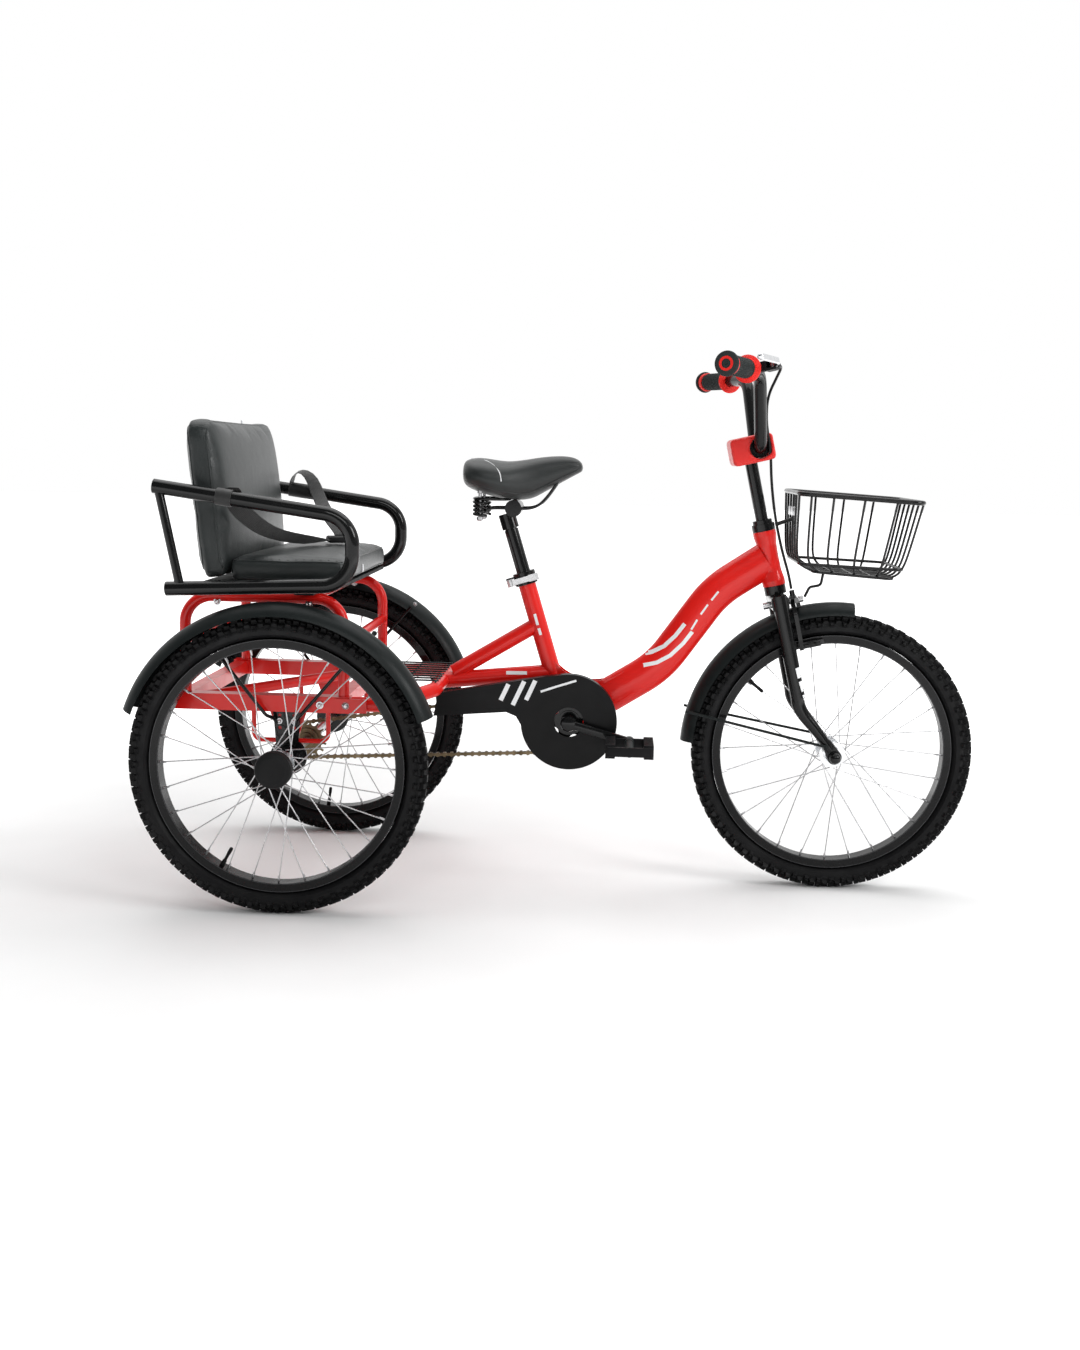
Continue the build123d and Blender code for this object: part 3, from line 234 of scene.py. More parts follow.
def field(tree, scale, detail=2.0, kind="ShaderNodeTexNoise"):
    """A noise, Voronoi or wave texture on Object coordinates, scale in cycles per metre."""
    coordinates = tree.nodes.new("ShaderNodeTexCoord")
    texture = tree.nodes.new(kind)
    texture.inputs["Scale"].default_value = scale
    if kind == "ShaderNodeTexNoise":
        texture.inputs["Detail"].default_value = detail
    tree.links.new(coordinates.outputs["Object"], texture.inputs["Vector"])
    return texture


def ramp(tree, source, low, high, start=0.3, end=0.7):
    """Maps a grey field to a band between two values or two colours."""
    node = tree.nodes.new("ShaderNodeValToRGB")
    node.color_ramp.elements[0].position = start
    node.color_ramp.elements[1].position = end
    for element, value in zip(node.color_ramp.elements, (low, high)):
        shade = value if hasattr(value, "__len__") else (value, value, value)
        element.color = (*shade, 1)
    tree.links.new(source, node.inputs["Fac"])
    return node.outputs["Color"]


def bump(tree, height, strength, distance, after=None):
    node = tree.nodes.new("ShaderNodeBump")
    node.inputs["Strength"].default_value = strength
    node.inputs["Distance"].default_value = distance
    tree.links.new(height, node.inputs["Height"])
    if after is not None:
        tree.links.new(after, node.inputs["Normal"])
    return node.outputs["Normal"]


def shader(tree):
    return tree.nodes["Principled BSDF"]


def painted(name, low, high, rough_low, rough_high, coat, coat_rough=0.05, ripple=0.05, metal=0.0):
    """Sprayed paint: faint cloudy tone, a little orange peel, and polish that varies."""
    material, tree = graph(name)
    surface = shader(tree)
    tree.links.new(ramp(tree, field(tree, 9, 3).outputs["Fac"], low, high), surface.inputs["Base Color"])
    tree.links.new(ramp(tree, field(tree, 38, 4).outputs["Fac"], rough_low, rough_high),
                   surface.inputs["Roughness"])
    peel = bump(tree, field(tree, 420, 2).outputs["Fac"], ripple, 0.0004)
    tree.links.new(peel, surface.inputs["Normal"])
    surface.inputs["Metallic"].default_value = metal
    surface.inputs["Specular IOR Level"].default_value = 0.12 if max(high) < 0.05 else 0.28
    surface.inputs["Coat Weight"].default_value = coat
    surface.inputs["Coat Roughness"].default_value = coat_rough
    return material


def red_paint():
    return painted("red_gloss_paint", (0.66, 0.007, 0.004), (0.72, 0.010, 0.006), 0.28, 0.38, 0.25)


def black_paint():
    return painted("black_gloss_paint", (0.0030, 0.0032, 0.0034), (0.0055, 0.0058, 0.006), 0.2, 0.3, 0.4)


def fender_black():
    return painted("fender_satin_black", (0.007, 0.0095, 0.0095), (0.011, 0.014, 0.014), 0.34, 0.46, 0.1,
                   0.3, 0.12)


def guard_black():
    return painted("guard_satin_black", (0.0022, 0.0022, 0.0024), (0.004, 0.004, 0.0044), 0.34, 0.46, 0.1,
                   0.3, 0.1)


def plastic_black():
    return painted("moulded_black_plastic", (0.006, 0.006, 0.0065), (0.011, 0.011, 0.012), 0.42, 0.58, 0.0,
                   0.3, 0.25)


def painted_highlight_circles(tree, centre_x, lines):
    """Grey field that is 1 on thin circles about an axle and 0 elsewhere, the mask for painted highlight
    lines on a rim; lines are radii in metres.
    """
    coordinates = tree.nodes.new("ShaderNodeTexCoord")
    centred = tree.nodes.new("ShaderNodeMapping")
    centred.inputs["Location"].default_value = (-centre_x, 0, -AXLE_Z * MILLIMETRE)
    centred.inputs["Scale"].default_value = (1, 0, 1)
    tree.links.new(coordinates.outputs["Object"], centred.inputs["Vector"])
    length = tree.nodes.new("ShaderNodeVectorMath")
    length.operation = "LENGTH"
    tree.links.new(centred.outputs["Vector"], length.inputs[0])
    total = None
    for radius in lines:
        near = tree.nodes.new("ShaderNodeMath")
        near.operation = "COMPARE"
        near.inputs[1].default_value = radius
        near.inputs[2].default_value = 0.0004
        tree.links.new(length.outputs["Value"], near.inputs[0])
        if total is None:
            total = near.outputs[0]
            continue
        joined = tree.nodes.new("ShaderNodeMath")
        joined.operation = "MAXIMUM"
        tree.links.new(total, joined.inputs[0])
        tree.links.new(near.outputs[0], joined.inputs[1])
        total = joined.outputs[0]
    return total


def rim_black(centre_x=rear_axle_x, name="rim_gloss_black"):
    material, tree = graph(name)
    surface = shader(tree)
    # The two thin lighter circles near the rim's inner and outer edges are painted highlight lines; the rim
    # itself is plain gloss black.
    rings = painted_highlight_circles(tree, centre_x, (0.2022, 0.2152))
    tree.links.new(ramp(tree, rings, (0.003, 0.003, 0.0034), (0.06, 0.06, 0.064), 0.4, 0.6),
                   surface.inputs["Base Color"])
    tree.links.new(ramp(tree, field(tree, 60, 3).outputs["Fac"], 0.2, 0.34), surface.inputs["Roughness"])
    tree.links.new(bump(tree, field(tree, 500).outputs["Fac"], 0.05, 0.0003), surface.inputs["Normal"])
    surface.inputs["Specular IOR Level"].default_value = 0.12
    surface.inputs["Coat Weight"].default_value = 0.2
    surface.inputs["Coat Roughness"].default_value = 0.08
    return material


def tyre_black():
    """Rubber with a dusty bloom, fine moulding grain and soft scuffs."""
    material, tree = graph("tyre_rubber")
    surface = shader(tree)
    tree.links.new(ramp(tree, field(tree, 24, 5).outputs["Fac"], (0.0045, 0.0045, 0.005),
                        (0.010, 0.010, 0.0105)), surface.inputs["Base Color"])
    tree.links.new(ramp(tree, field(tree, 90, 4).outputs["Fac"], 0.42, 0.62), surface.inputs["Roughness"])
    surface.inputs["Specular IOR Level"].default_value = 0.16
    tree.links.new(bump(tree, field(tree, 900, 3).outputs["Fac"], 0.25, 0.0004), surface.inputs["Normal"])
    return material


def brushed(name, low, high, rough_low, rough_high, scratch=700):
    """Bare metal with fine drawn marks."""
    material, tree = graph(name)
    surface = shader(tree)
    surface.inputs["Metallic"].default_value = 1.0
    tree.links.new(ramp(tree, field(tree, 50, 4).outputs["Fac"], low, high), surface.inputs["Base Color"])
    tree.links.new(ramp(tree, field(tree, scratch, 3).outputs["Fac"], rough_low, rough_high),
                   surface.inputs["Roughness"])
    tree.links.new(bump(tree, field(tree, scratch, 2).outputs["Fac"], 0.08, 0.0002), surface.inputs["Normal"])
    return material


def steel():
    return brushed("zinc_steel", (0.50, 0.50, 0.51), (0.66, 0.66, 0.67), 0.22, 0.36)


def alloy():
    return brushed("polished_alloy", (0.66, 0.67, 0.69), (0.82, 0.83, 0.84), 0.14, 0.26)


def chain_bronze():
    return brushed("oiled_bronze_steel", (0.10, 0.075, 0.045), (0.24, 0.18, 0.11), 0.26, 0.45, 400)


def leather_cloth(name, low, high, rough_low, rough_high, cell=620, depth=0.35, sheen=0.02):
    """Coated seat cloth: leather grain from cells, with softer broad creases under it."""
    material, tree = graph(name)
    surface = shader(tree)
    tree.links.new(ramp(tree, field(tree, 14, 4).outputs["Fac"], low, high), surface.inputs["Base Color"])
    cells = field(tree, cell, kind="ShaderNodeTexVoronoi")
    tree.links.new(ramp(tree, cells.outputs["Distance"], rough_high, rough_low, 0.0, 0.8),
                   surface.inputs["Roughness"])
    creases = bump(tree, field(tree, 30, 3).outputs["Fac"], 0.25, 0.003)
    tree.links.new(bump(tree, cells.outputs["Distance"], depth, 0.0005, creases), surface.inputs["Normal"])
    surface.inputs["Sheen Weight"].default_value = sheen
    surface.inputs["Specular IOR Level"].default_value = 0.4
    return material


def vinyl():
    return leather_cloth("cushion_vinyl", (0.014, 0.018, 0.018), (0.021, 0.025, 0.025), 0.30, 0.42)


def saddle_vinyl():
    return leather_cloth("saddle_vinyl", (0.008, 0.0105, 0.0105), (0.013, 0.016, 0.0155), 0.36, 0.5, 900,
                         0.25, 0.15)


def seat_board():
    return painted("board_matte_black", (0.005, 0.005, 0.0055), (0.01, 0.01, 0.0105), 0.5, 0.7, 0.0, 0.3, 0.4)


def woven(name, low, high, across, along, roughness=0.6):
    """Webbing: warp ribs along the strap crossed by weft, on the strap's own UV map in metres."""
    material, tree = graph(name)
    surface = shader(tree)
    coordinates = tree.nodes.new("ShaderNodeTexCoord")
    waves = []
    for direction, scale in (("X", across), ("Y", along)):
        wave = tree.nodes.new("ShaderNodeTexWave")
        wave.bands_direction = direction
        wave.inputs["Scale"].default_value = scale
        tree.links.new(coordinates.outputs["UV"], wave.inputs["Vector"])
        waves.append(wave)
    mixed = tree.nodes.new("ShaderNodeMath")
    mixed.operation = "MULTIPLY"
    tree.links.new(waves[0].outputs["Fac"], mixed.inputs[0])
    tree.links.new(waves[1].outputs["Fac"], mixed.inputs[1])
    tree.links.new(ramp(tree, mixed.outputs[0], low, high, 0.0, 1.0), surface.inputs["Base Color"])
    tree.links.new(bump(tree, mixed.outputs[0], 0.6, 0.0005), surface.inputs["Normal"])
    tree.links.new(ramp(tree, field(tree, 120).outputs["Fac"], roughness - 0.08, roughness + 0.08),
                   surface.inputs["Roughness"])
    surface.inputs["Sheen Weight"].default_value = 0.25
    return material


def belt_webbing():
    return woven("belt_webbing", (0.002, 0.002, 0.002), (0.010, 0.010, 0.0105), 110, 150)


def grip_rubber():
    return painted("grip_rubber", (0.018, 0.022, 0.022), (0.028, 0.032, 0.032), 0.55, 0.72, 0.0, 0.3, 0.5)


def pad_rubber():
    return painted("brake_pad_rubber", (0.03, 0.03, 0.031), (0.06, 0.06, 0.062), 0.6, 0.8, 0.0, 0.3, 0.5)


def red_rubber():
    return painted("red_soft_rubber", (0.66, 0.010, 0.006), (0.74, 0.015, 0.009), 0.42, 0.56, 0.0, 0.3, 0.3)


def pad_red():
    """Foam cover in red coated cloth with a fine cell grain."""
    return leather_cloth("pad_red_cloth", (0.62, 0.008, 0.005), (0.70, 0.012, 0.008), 0.36, 0.5, 1100, 0.3,
                         0.2)


def cable_black():
    return painted("cable_sleeve", (0.004, 0.004, 0.004), (0.008, 0.008, 0.008), 0.3, 0.42, 0.2, 0.2, 0.1)


def basket_wire():
    return painted("coated_wire_black", (0.003, 0.003, 0.0034), (0.006, 0.006, 0.0064), 0.22, 0.32, 0.4, 0.1,
                   0.15)


def pale_print():
    return painted("pale_print", (0.72, 0.73, 0.74), (0.86, 0.87, 0.88), 0.3, 0.42, 0.3, 0.1, 0.05)


def white_tag():
    return painted("white_tag", (0.70, 0.72, 0.74), (0.82, 0.84, 0.86), 0.6, 0.75, 0.0, 0.3, 0.3)


def hub_matte():
    return painted("hub_cap_matte", (0.010, 0.010, 0.0105), (0.015, 0.015, 0.0155), 0.55, 0.68, 0.0, 0.3, 0.3)


SLOT_FINISH = {
    "red_paint": red_paint(), "black_paint": black_paint(), "fender_black": fender_black(),
    "guard_black": guard_black(), "rim_black": rim_black(), "tyre_black": tyre_black(), "steel": steel(),
    "alloy": alloy(), "seat_board": seat_board(), "vinyl": vinyl(), "saddle_vinyl": saddle_vinyl(),
    "belt_webbing": belt_webbing(), "grip_rubber": grip_rubber(), "pad_red": pad_red(),
    "plastic_black": plastic_black(), "cable_black": cable_black(), "pad_rubber": pad_rubber(),
    "basket_wire": basket_wire(), "chain_bronze": chain_bronze(),
}
FRONT_RIM = rim_black(middle("front_rim").x, "front_rim_gloss_black")
RED_RUBBER = red_rubber()
PALE = pale_print()
TAG = white_tag()
HUB_MATTE = hub_matte()


def finish_frame():
    """Gives every CAD node the finish of its material slot."""
    for name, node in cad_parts.items():
        for holder in node.material_slots:
            slot = holder.material.name.split(".")[0]
            holder.material = SLOT_FINISH[slot]
        if name == "front_rim":
            node.material_slots[0].material = FRONT_RIM
        if name in ("chainring", "saddle_clamp", "seat_collar"):
            node.material_slots[0].material = SLOT_FINISH["black_paint"]
        if name.startswith("hub_cap"):
            node.material_slots[0].material = HUB_MATTE


finish_frame()


def loft(bm, rings, cap=True):
    """Skins closed rings of points, one after another."""
    loops = []
    for ring in rings:
        verts = [bm.verts.new(point) for point in ring]
        loops.append([bm.edges.new((a, b)) for a, b in zip(verts, verts[1:] + verts[:1])])
    for first, second in zip(loops, loops[1:]):
        bmesh.ops.bridge_loops(bm, edges=first + second)
    if cap:
        for loop in (loops[0], loops[-1]):
            bmesh.ops.edgenet_fill(bm, edges=loop)
    return loops


def around(bm, geometry, centre, count):
    """Repeats geometry evenly about an axle."""
    if count > 1:
        bmesh.ops.spin(bm, geom=geometry, cent=centre, axis=(0, 1, 0), angle=2 * pi * (count - 1) / count,
                       steps=count - 1, use_duplicate=True)


def geometry_of(verts):
    edges = {e for v in verts for e in v.link_edges}
    faces = {f for v in verts for f in v.link_faces}
    return list(verts) + list(edges) + list(faces)


def node_copy(name):
    """A merged copy of a CAD node's mesh, in millimetres on the maker's axes."""
    bm = bmesh.new()
    bm.from_mesh(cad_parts[name].data)
    bmesh.ops.remove_doubles(bm, verts=bm.verts, dist=0.000005)
    bm.transform(PLACE.inverted())
    return bm


BOLT = ((0, 4.2), (2.2, 4.0), (3.6, 2.8), (4.2, 1.2), (4.2, 0), (6.4, 0), (6.4, -0.8), (0, -0.8))


# Wheels

CROWN_RADIUS = 232.0
SECTION_HEIGHT = 22.0
SECTION_HALF_WIDTH = 27.0
KNOB_DEPTH = 6.4
KNOB_COUNT = 66
# (angle round the section, length along the tread, width, taper, hollow, half a pitch later)
KNOB_ROWS = ((9, 14.0, 8.0, 0.84, False, 0), (30, 10.5, 9.5, 0.78, False, 1), (52, 11.0, 10.5, 0.7, True, 0),
             (75, 10.0, 8.5, 0.7, True, 1))


def section_point(angle, depth=0.0):
    """Point on the tyre's section, this angle from the crown and this depth under its envelope."""
    return ((SECTION_HEIGHT - depth) * cos(angle), (SECTION_HALF_WIDTH - depth) * sin(angle))


def tyre(name, centre_x, side, body, node):
    bm = bmesh.new()
    centre = Vector((centre_x, side, AXLE_Z))
    carcass = []
    for step in range(36):
        angle = 2 * pi * step / 36
        rise, across = section_point(angle, KNOB_DEPTH)
        turn = abs((angle + pi) % (2 * pi) - pi)
        if abs(turn - radians(122)) < radians(6):
            across *= 1.06
        carcass.append(bm.verts.new(centre + Vector((0, across, CROWN_RADIUS + rise))))
    hoops = [bm.edges.new((a, b)) for a, b in zip(carcass, carcass[1:] + carcass[:1])]
    bmesh.ops.spin(bm, geom=carcass + hoops, cent=centre, axis=(0, 1, 0), angle=2 * pi, steps=120,
                   use_merge=True)
    for degrees, length, width, taper, hollow, later in KNOB_ROWS:
        for mirror in (-1, 1):
            angle = radians(degrees) * mirror
            rise, across = section_point(angle, KNOB_DEPTH * 0.5 + 0.4)
            outward = Vector((0, sin(angle) / SECTION_HALF_WIDTH, cos(angle) / SECTION_HEIGHT)).normalized()
            tilt = Matrix.Rotation(-atan2(outward.y, outward.z), 4, "X")
            foot = centre + Vector((0, across, CROWN_RADIUS + rise))
            start = pi / KNOB_COUNT * (later + (0.25 if mirror > 0 else 0.0))
            ring = Matrix.Translation(centre) @ Matrix.Rotation(start, 4, "Y") @ Matrix.Translation(-centre)
            knob = block(bm, (length, width, KNOB_DEPTH + 0.8), ring @ Matrix.Translation(foot) @ tilt, 0,
                         taper)
            if hollow:
                faces = {f for v in knob for f in v.link_faces}
                away = ring.to_3x3() @ outward
                top = max(faces, key=lambda f: f.calc_center_median().dot(away))
                bmesh.ops.inset_individual(bm, faces=[top], thickness=1.6, depth=-1.5)
            around(bm, geometry_of(reach(knob)), centre, KNOB_COUNT)
    made = piece(name, bm, body, "tyre_black", sharp=40)
    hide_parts(node)
    return made


SPOKE_COUNT = 28
RIM_INNER = 201.0


def nipples_and_valve(name, centre_x, side, body, valve_degrees):
    """Steel nipples where the spokes meet the rim, and the tube's valve."""
    bm = bmesh.new()
    centre = Vector((centre_x, side, AXLE_Z))
    foot = centre + Vector((0, 0, RIM_INNER + 1))
    made = turned(bm, ((0, 11), (1.5, 11), (1.9, 7), (2.1, 0), (0, 0)), aim(foot, (0, 0, -1)), 8)
    around(bm, geometry_of(made), centre, SPOKE_COUNT)
    piece(name + "_nipples", bm, body, "steel")
    bm = bmesh.new()
    angle = radians(valve_degrees)
    out = Vector((cos(angle), 0, sin(angle)))
    profile = ((0, 36), (2.4, 36), (3.2, 34), (3.2, 24), (2.7, 23.5), (2.7, 12), (3.6, 11), (4.2, 1),
               (4.2, 0), (0, 0))
    turned(bm, profile, aim(centre + out * (RIM_INNER + 1), -out), 16)
    piece(name + "_valve", bm, body, "plastic_black")


def wheels():
    for name, x, side, body, node, valve in (
        ("front", FRONT_AXLE_X, 0, "front_wheel", "front_tyre", 140),
        ("rear_right", 0, -REAR_SIDE, "driven_axle", "rear_tyre_right", 241),
        ("rear_left", 0, REAR_SIDE, "left_wheel", "rear_tyre_left", 263),
    ):
        tyre(name + "_knobby_tyre", x, side, body, node)
        nipples_and_valve(name, x, side, body, valve)


# Passenger seat

def remeshed(mesh, voxel, name):
    """The mesh rebuilt from even voxels, ready to be blown up or smoothed."""
    holder = placed(name + "_form", mesh)
    even = holder.modifiers.new("even", "REMESH")
    even.mode = "VOXEL"
    even.voxel_size = voxel * MILLIMETRE
    bpy.context.view_layer.update()
    made = evaluated(holder)
    bpy.data.objects.remove(holder)
    return made


def blown_up(mesh, cap, pressure=4.0):
    """Blows a closed form up like a stuffed cover; no point moves further than cap millimetres."""
    rest = [v.co.copy() for v in mesh.vertices]
    holder = bpy.data.objects.new("cushion_form", mesh)
    scene = bpy.context.scene
    scene.collection.objects.link(holder)
    cloth = holder.modifiers.new("cloth", "CLOTH")
    cloth.settings.use_pressure = True
    cloth.settings.uniform_pressure_force = pressure
    cloth.settings.effector_weights.gravity = 0
    cloth.point_cache.frame_start = 1
    cloth.point_cache.frame_end = 20
    for step in range(1, 21):
        scene.frame_set(step)
    filled = evaluated(holder)
    scene.frame_set(1)
    bpy.data.objects.remove(holder)
    limit = cap * MILLIMETRE
    for vert, start in zip(filled.vertices, rest):
        move = vert.co - start
        if move.length > limit:
            vert.co = start + move.normalized() * limit
    return filled


def crowned(mesh, centre, half, face, rise):
    """Swells one face of a form, most at its middle; face is its outward direction, half its half sizes."""
    towards = Vector(face)
    for vert in mesh.vertices:
        local = PLACE.inverted() @ vert.co - Vector(centre)
        if local.dot(towards) <= 0:
            continue
        fall = 1.0
        for axis in range(3):
            if abs(towards[axis]) < 0.5:
                fall *= max(0.0, 1 - (local[axis] / half[axis]) ** 2)
        vert.co += towards * (rise * fall ** 0.45 * MILLIMETRE)


def cushion(name, bm, node, cap, crowns, body="frame"):
    """A stuffed cushion from a closed form in millimetres."""
    bmesh.ops.recalc_face_normals(bm, faces=bm.faces)
    bm.transform(PLACE)
    mesh = meshed(name, bm)
    mesh = remeshed(mesh, 5.5, name)
    for centre, half, face, rise in crowns:
        crowned(mesh, centre, half, face, rise)
    mesh = blown_up(mesh, cap)
    smoothed(mesh, 2)
    mesh.name = name
    mesh.shade_smooth()
    made = link(name, mesh, body, [SLOT_FINISH["vinyl"]])
    subdivided(made)
    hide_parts(node)
    return made


def seat_form():
    bm = bmesh.new()
    low, high = (Vector(v) for v in ((-98, -217, 558.5), (104, 217, 592)))
    block(bm, high - low, Matrix.Translation((low + high) / 2))
    upright = [e for e in bm.edges if abs(e.verts[0].co.z - e.verts[1].co.z) > 10]
    bevelled(bm, upright, 12, 4)
    edges = [e for e in bm.edges if e.calc_face_angle(0) > 0.5]
    bevelled(bm, edges, 6, 2)
    return bm


BACK_FOOT = Vector((-120, 0, 558.6))
BACK_LEAN = Matrix.Translation(BACK_FOOT) @ Matrix.Rotation(radians(-5.6), 4, "Y")
BACK_HEIGHT = 276.0
BACK_HALF = 228.0


def back_form():
    bm = bmesh.new()
    block(bm, (31, 2 * BACK_HALF - 6, BACK_HEIGHT - 6), Matrix.Translation((-5, 0, BACK_HEIGHT / 2)))
    corners = [e for e in bm.edges if abs(e.verts[0].co.x - e.verts[1].co.x) > 20 and e.verts[0].co.z > 100]
    bevelled(bm, corners, 32, 6)
    edges = [e for e in bm.edges if e.calc_face_angle(0) > 0.5]
    bevelled(bm, edges, 5, 2)
    bm.transform(BACK_LEAN)
    return bm


def nearest_on(target, point):
    """Closest point of a finished piece's surface, and its outward normal, in millimetres."""
    graph_now = bpy.context.evaluated_depsgraph_get()
    _, place, normal, _ = target.evaluated_get(graph_now).closest_point_on_mesh(metres(point))
    return PLACE.inverted() @ place, normal


def seam(name, target, path, radius, body, slot, material=None, closed=True, lift=0.0):
    """A piped seam laid along a piece's own surface."""
    points = []
    for point in path:
        place, normal = nearest_on(target, point)
        points.append(place + normal * lift)
    return wires(name, [(points, closed)], radius, body, slot, material)


def rounded_loop(half_a, half_b, corner, count=12):
    """Points round a rectangle with rounded corners."""
    points = []
    for turn, (sa, sb) in enumerate(((1, 1), (-1, 1), (-1, -1), (1, -1))):
        for step in range(5):
            angle = radians(90 * turn + 90 * step / 4)
            points.append((sa * (half_a - corner) + corner * cos(angle),
                           sb * (half_b - corner) + corner * sin(angle)))
        nxt = ((-1, 1), (-1, -1), (1, -1), (1, 1))[turn]
        ahead = radians(90 * (turn + 1))
        last = points[-1]
        goal = (nxt[0] * (half_a - corner) + corner * cos(ahead),
                nxt[1] * (half_b - corner) + corner * sin(ahead))
        for step in range(1, count):
            share = step / count
            points.append((last[0] + (goal[0] - last[0]) * share, last[1] + (goal[1] - last[1]) * share))
    return points


def stitches(name, target, path, body, slot, material, length=3.2):
    """Short raised threads along a line on a piece."""
    bm = bmesh.new()
    for here, there in zip(path, path[1:]):
        gap = (Vector(there) - Vector(here)).length
        count = max(1, int(gap / 7.5))
        for step in range(count):
            share = (step + 0.5) / count
            point = Vector(here).lerp(Vector(there), share)
            place, normal = nearest_on(target, point)
            along = (Vector(there) - Vector(here)).normalized()
            across = normal.cross(along).normalized()
            turn = axes(along, across, normal)
            block(bm, (length, 1.0, 0.9), Matrix.Translation(place + normal * 0.2) @ turn, 0, 0.7)
    return piece(name, bm, body, slot, material)


def passenger_seat():
    seat = cushion("seat_cushion_cover", seat_form(), "seat_cushion", 6,
                   [((3, 0, 575), (102, 218, 20), (0, 0, 1), 9)])
    back = cushion("back_cushion_cover", back_form(), "back_cushion", 7,
                   [((-142, 0, 697), (20, 226, 140), (1, 0, 0), 26),
                    ((-142, 0, 697), (20, 226, 140), (-1, 0, 0), 5)])
    bpy.context.view_layer.update()
    top = [(2 + x, y, 597) for x, y in rounded_loop(97, 212, 18)]
    low = [(2 + x, y, 562) for x, y in rounded_loop(97, 212, 18)]
    seam("seat_top_piping", seat, top, 1.5, "frame", "vinyl")
    seam("seat_low_piping", seat, low, 1.3, "frame", "vinyl")
    for name, x in (("front", 14), ("rear", -24)):
        outline = [(x, y, z + 136) for y, z in rounded_loop(218, 126, 30)]
        path = [BACK_LEAN @ Vector(point) for point in outline]
        seam(f"back_{name}_piping", back, path, 1.5, "frame", "vinyl")
    near_edge = [(-88 + 14 * step, -205, 598) for step in range(14)]
    bm = bmesh.new()
    for target, point in ((back, BACK_LEAN @ Vector((12, 24, 262))), (seat, Vector((106, -24, 570)))):
        place, normal = nearest_on(target, point)
        block(bm, (2.2, 7, 13), Matrix.Translation(place + normal * 0.6))
    piece("cushion_tags", bm, "frame", "belt_webbing", TAG)
    stitches("seat_edge_stitches", seat, near_edge, "frame", "vinyl", SLOT_FINISH["belt_webbing"])
    return seat, back


# Saddle

# (along, half width, top, skirt) from the post clamp
SADDLE_STATIONS = ((-80, 46, 97, 62), (-72, 64, 104, 53), (-52, 78, 107.5, 45), (-28, 80, 104, 38),
                   (-2, 70, 100.5, 33), (20, 56, 103, 32), (43, 44, 107, 34), (60, 37, 110, 44),
                   (89, 30, 113, 61), (112, 24, 112, 74), (126, 19, 107, 82), (134, 12, 98, 86))


def saddle_ring(along, half, top, skirt):
    points = []
    waist = skirt + (top - skirt) * 0.42
    for step in range(24):
        angle = 2 * pi * step / 24
        across = abs(cos(angle)) ** 0.72 * (1 if cos(angle) >= 0 else -1)
        rise = abs(sin(angle)) ** 0.85
        height = waist + (top - waist) * rise if sin(angle) >= 0 else waist - (waist - skirt) * rise
        narrow = 1.0 if sin(angle) >= 0 else 1 - 0.14 * rise
        points.append(SADDLE_POINT + Vector((along, half * across * narrow, height)))
    return points


def saddle_cover():
    bm = bmesh.new()
    loft(bm, [saddle_ring(*station) for station in SADDLE_STATIONS])
    made = piece("saddle_cover", bm, "saddle_assembly", "saddle_vinyl", sharp=180)
    subdivided(made, 2)
    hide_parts("saddle")
    bpy.context.view_layer.update()
    skirt = []
    for side in (-1, 1):
        flank = [(along, side * half * 0.97, low + 5) for along, half, _, low in SADDLE_STATIONS]
        skirt += flank if side < 0 else flank[::-1]
    edge = [SADDLE_POINT + Vector(point) for point in skirt]
    seam("saddle_skirt_piping", made, edge, 1.3, "saddle_assembly", "saddle_vinyl")
    return made


def saddle_mount():
    """Rails, coil springs and the wire hoop under the saddle."""
    runs = []
    for side in (-1, 1):
        rail = [(-47, side * 40, 6), (-36, side * 36, 16), (-24, side * 30, 18), (10, side * 30, 18),
                (50, side * 30, 18), (74, side * 24, 40), (96, side * 12, 76)]
        runs.append(([SADDLE_POINT + Vector(p) for p in rail], False))
        helix = []
        turns = 4.0
        for step in range(int(turns * 12) + 1):
            angle = 2 * pi * step / 12
            helix.append(SADDLE_POINT + Vector((-47 + 11 * cos(angle), side * (40 + 11 * sin(angle)),
                                                4 + 7 * step / 12)))
        runs.append((helix, False))
    hoop = [(-60, -30), (-60, 30), (-52, 46), (-30, 47), (-4, 40), (4, 20), (4, -20), (-4, -40), (-30, -47),
            (-52, -46)]
    runs.append(([SADDLE_POINT + Vector((x, y, 34)) for x, y in hoop], True))
    made = wires("saddle_rails_and_coils", runs, 2.6, "saddle_assembly", "black_paint")
    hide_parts("saddle_springs")
    bm = bmesh.new()
    for side in (-1, 1):
        foot = SADDLE_POINT + Vector((-47, side * 40, 0))
        turned(bm, ((0, 52), (5, 52), (5, 44), (3, 43), (3, 2), (6, 2), (6, -3), (4, -5), (0, -5)),
               Matrix.Translation(foot), 16)
    piece("saddle_coil_bolts", bm, "saddle_assembly", "steel")


def saddle_piping(cover):
    """Pale piping that marks off the wide rear of the saddle on each side."""
    for name, side in (("right", -1), ("left", 1)):
        path = ((-66, 14, 106), (-44, 36, 108), (-24, 56, 104), (-10, 72, 92), (-6, 76, 80), (-5, 76, 66))
        seam(f"saddle_piping_{name}", cover, [SADDLE_POINT + Vector((x, side * y, z)) for x, y, z in path],
             1.1, "saddle_assembly", "saddle_vinyl", PALE, closed=False)


# Steering

def grip_matrix(side):
    corner = Vector((32, side * 122, 692))
    end = Vector((-33.5, side * 291, 710))
    out = (end - corner).normalized()
    ahead = (Vector((1, 0, 0)) - out * out.x).normalized()
    turn = axes(ahead, out.cross(ahead), out)
    return COLUMN @ Matrix.Translation(end) @ turn


